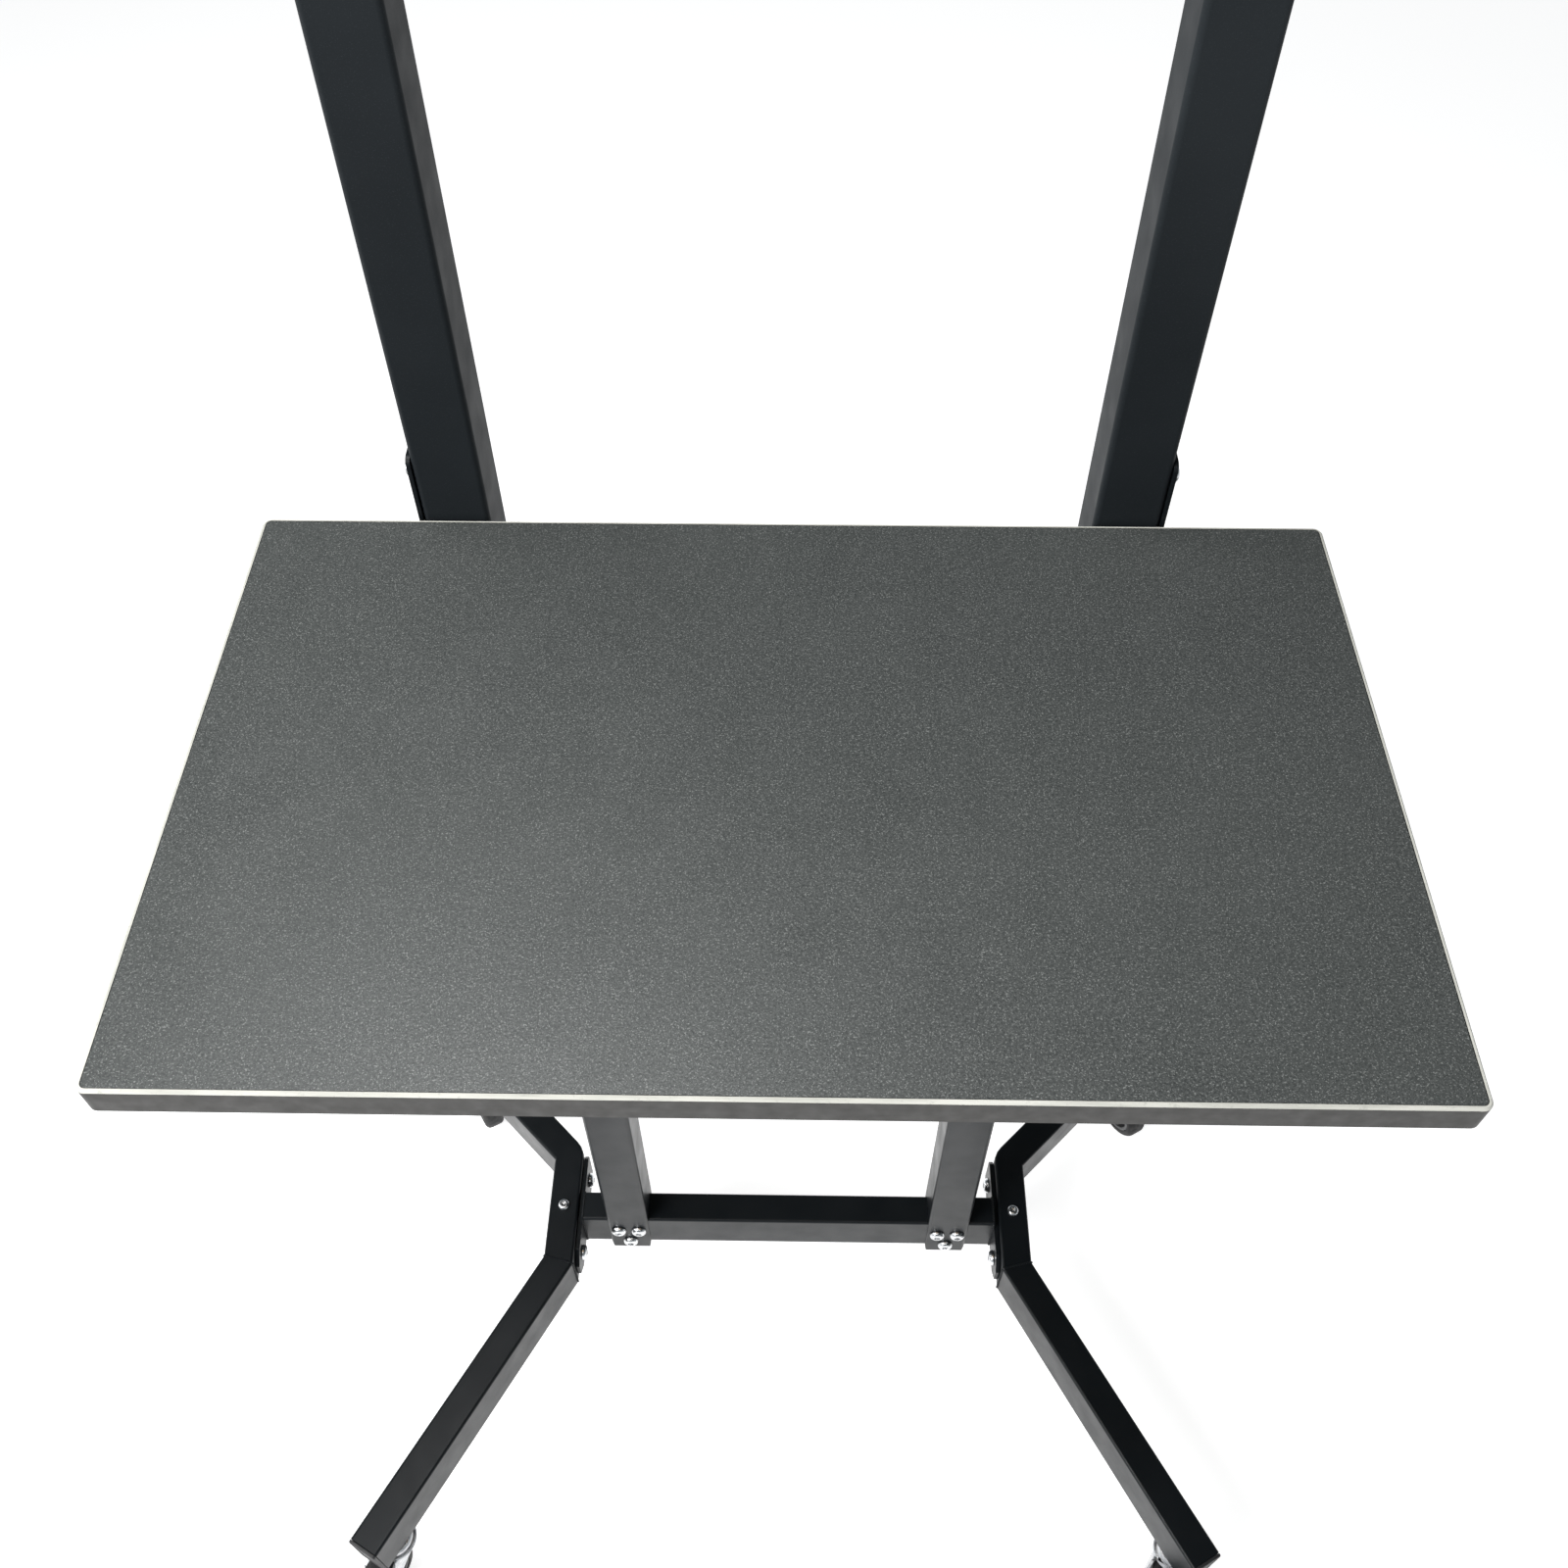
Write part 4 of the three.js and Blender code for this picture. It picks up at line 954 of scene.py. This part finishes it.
for name in SIDES:
    for end in ("rear", "front"):
        c = CASTER
        label = f"{name}_{end}"
        swivel = joint_place[f"{label}_swivel"]
        axle = joint_place[f"{label}_roll"]
        trail = Vector((axle.x - swivel.x, axle.y - swivel.y, 0)).normalized()
        heading = Matrix.Rotation(math.atan2(trail.y, trail.x), 4, "Z")
        under_foot = Matrix.Translation(Vector((swivel.x, swivel.y, 0))) @ heading
        at_axle = Matrix.Translation(axle) @ heading @ Matrix.Rotation(-math.pi / 2, 4, "X")
        fork_body, wheel_body = f"{label}_fork", f"{label}_wheel"

        under, over = c["crown"] - CAP_GAP, c["crown"] + c["crown_thick"] + CAP_GAP
        foot_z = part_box(f"{name}_foot")[0].z
        cover = [(0, under - 3 * MM), (5.2 * MM, under - 3 * MM), (6.6 * MM, under - 2.2 * MM),
                 (7.2 * MM, under - 0.6 * MM), (7.0 * MM, under), (4 * MM, under), (4 * MM, over),
                 (14.4 * MM, over), (15.4 * MM, over + 0.5 * MM), (15.8 * MM, over + 2 * MM),
                 (15.4 * MM, foot_z - 2.2 * MM), (14.2 * MM, foot_z - 0.8 * MM),
                 (12.6 * MM, foot_z - CAP_GAP), (5 * MM, foot_z - CAP_GAP), (5 * MM, foot_z + 26 * MM),
                 (0, foot_z + 26 * MM)]
        made(f"{label}_stem", solid_turning(cover), caster_steel, [f"{label}_caster_stem"],
             place=under_foot)

        made(f"{label}_fork_sheet", fork_form(), caster_steel, [f"{label}_caster_fork"], fork_body,
             place=under_foot)
        race = [(9.0 * MM, c["crown"] + 0.1 * MM), (17.0 * MM, c["crown"] + 0.1 * MM),
                (18.0 * MM, c["crown"] + 1.0 * MM), (18.0 * MM, over - CAP_GAP - 0.9 * MM),
                (17.2 * MM, over - CAP_GAP), (9.0 * MM, over - CAP_GAP)]
        made(f"{label}_fork_race", ring_turning(race, 48), caster_steel, (), fork_body,
             place=under_foot)

        outside = c["leg_inner"] + c["sheet"] + CAP_GAP
        shaft = [(0, -outside - 4 * MM), (4.2 * MM, -outside - 4 * MM), (5.2 * MM, -outside - 3 * MM),
                 (5.4 * MM, -outside - 1 * MM), (5.4 * MM, -outside), (3 * MM, -outside), (3 * MM, outside),
                 (5.4 * MM, outside), (5.4 * MM, outside + 3.6 * MM), (5.0 * MM, outside + 4 * MM),
                 (3.0 * MM, outside + 4 * MM), (0, outside + 3.4 * MM)]
        made(f"{label}_axle_bolt", solid_turning(shaft, 36), bright_zinc, [f"{label}_caster_axle"],
             fork_body, place=at_axle)

        half, web = c["tread"] / 2 - 0.6 * MM, 2.6 * MM
        rim, hub = c["rim"], c["hub"]
        centre = [(c["bore"], -hub), (6.9 * MM, -hub), (7.5 * MM, -hub + 0.6 * MM), (8.2 * MM, -web),
                  (12.5 * MM, -web), (rim - 4 * MM, -web), (rim - 3.2 * MM, -half + 0.5 * MM),
                  (rim - 2.6 * MM, -half), (rim, -half), (rim, half), (rim - 2.6 * MM, half),
                  (rim - 3.2 * MM, half - 0.5 * MM), (rim - 4 * MM, web), (12.5 * MM, web), (8.2 * MM, web),
                  (7.5 * MM, hub - 0.6 * MM), (6.9 * MM, hub), (c["bore"], hub)]
        made(f"{label}_wheel_hub", ring_turning(centre, 60), wheel_plastic, [f"{label}_wheel_centre"],
             wheel_body, place=at_axle)
        for k in range(6):
            rib = skin([[Vector((x, y, z)) for x, y in ((7.8 * MM, -0.9 * MM), (rim - 3.3 * MM, -0.9 * MM),
                                                        (rim - 3.3 * MM, 0.9 * MM), (7.8 * MM, 0.9 * MM))]
                        for z in (-half + 1.2 * MM, half - 1.2 * MM)])
            bmesh.ops.recalc_face_normals(rib, faces=rib.faces)
            bevel_edges(rib, 0.3 * MM)
            made(f"{label}_wheel_rib_{k + 1}", rib, wheel_plastic, (), wheel_body,
                 place=at_axle @ Matrix.Rotation(k * math.pi / 3, 4, "Z"))

        inner, flank, crest = rim + 0.3 * MM, c["tread"] / 2, c["wheel"]
        tyre = [(inner, -flank + 0.3 * MM), (inner + 0.3 * MM, -flank)]
        steps = 8
        for i in range(steps + 1):
            a = math.pi / 2 * i / steps
            tyre.append((crest - SHOULDER + SHOULDER * math.sin(a), -flank + SHOULDER * (1 - math.cos(a))))
        tyre += [(crest, 0.0)] + [(r, -z) for r, z in reversed(tyre)]
        made(f"{label}_tyre", ring_turning(tyre, 72), rubber, [f"{label}_wheel_tyre"], wheel_body,
             place=at_axle)
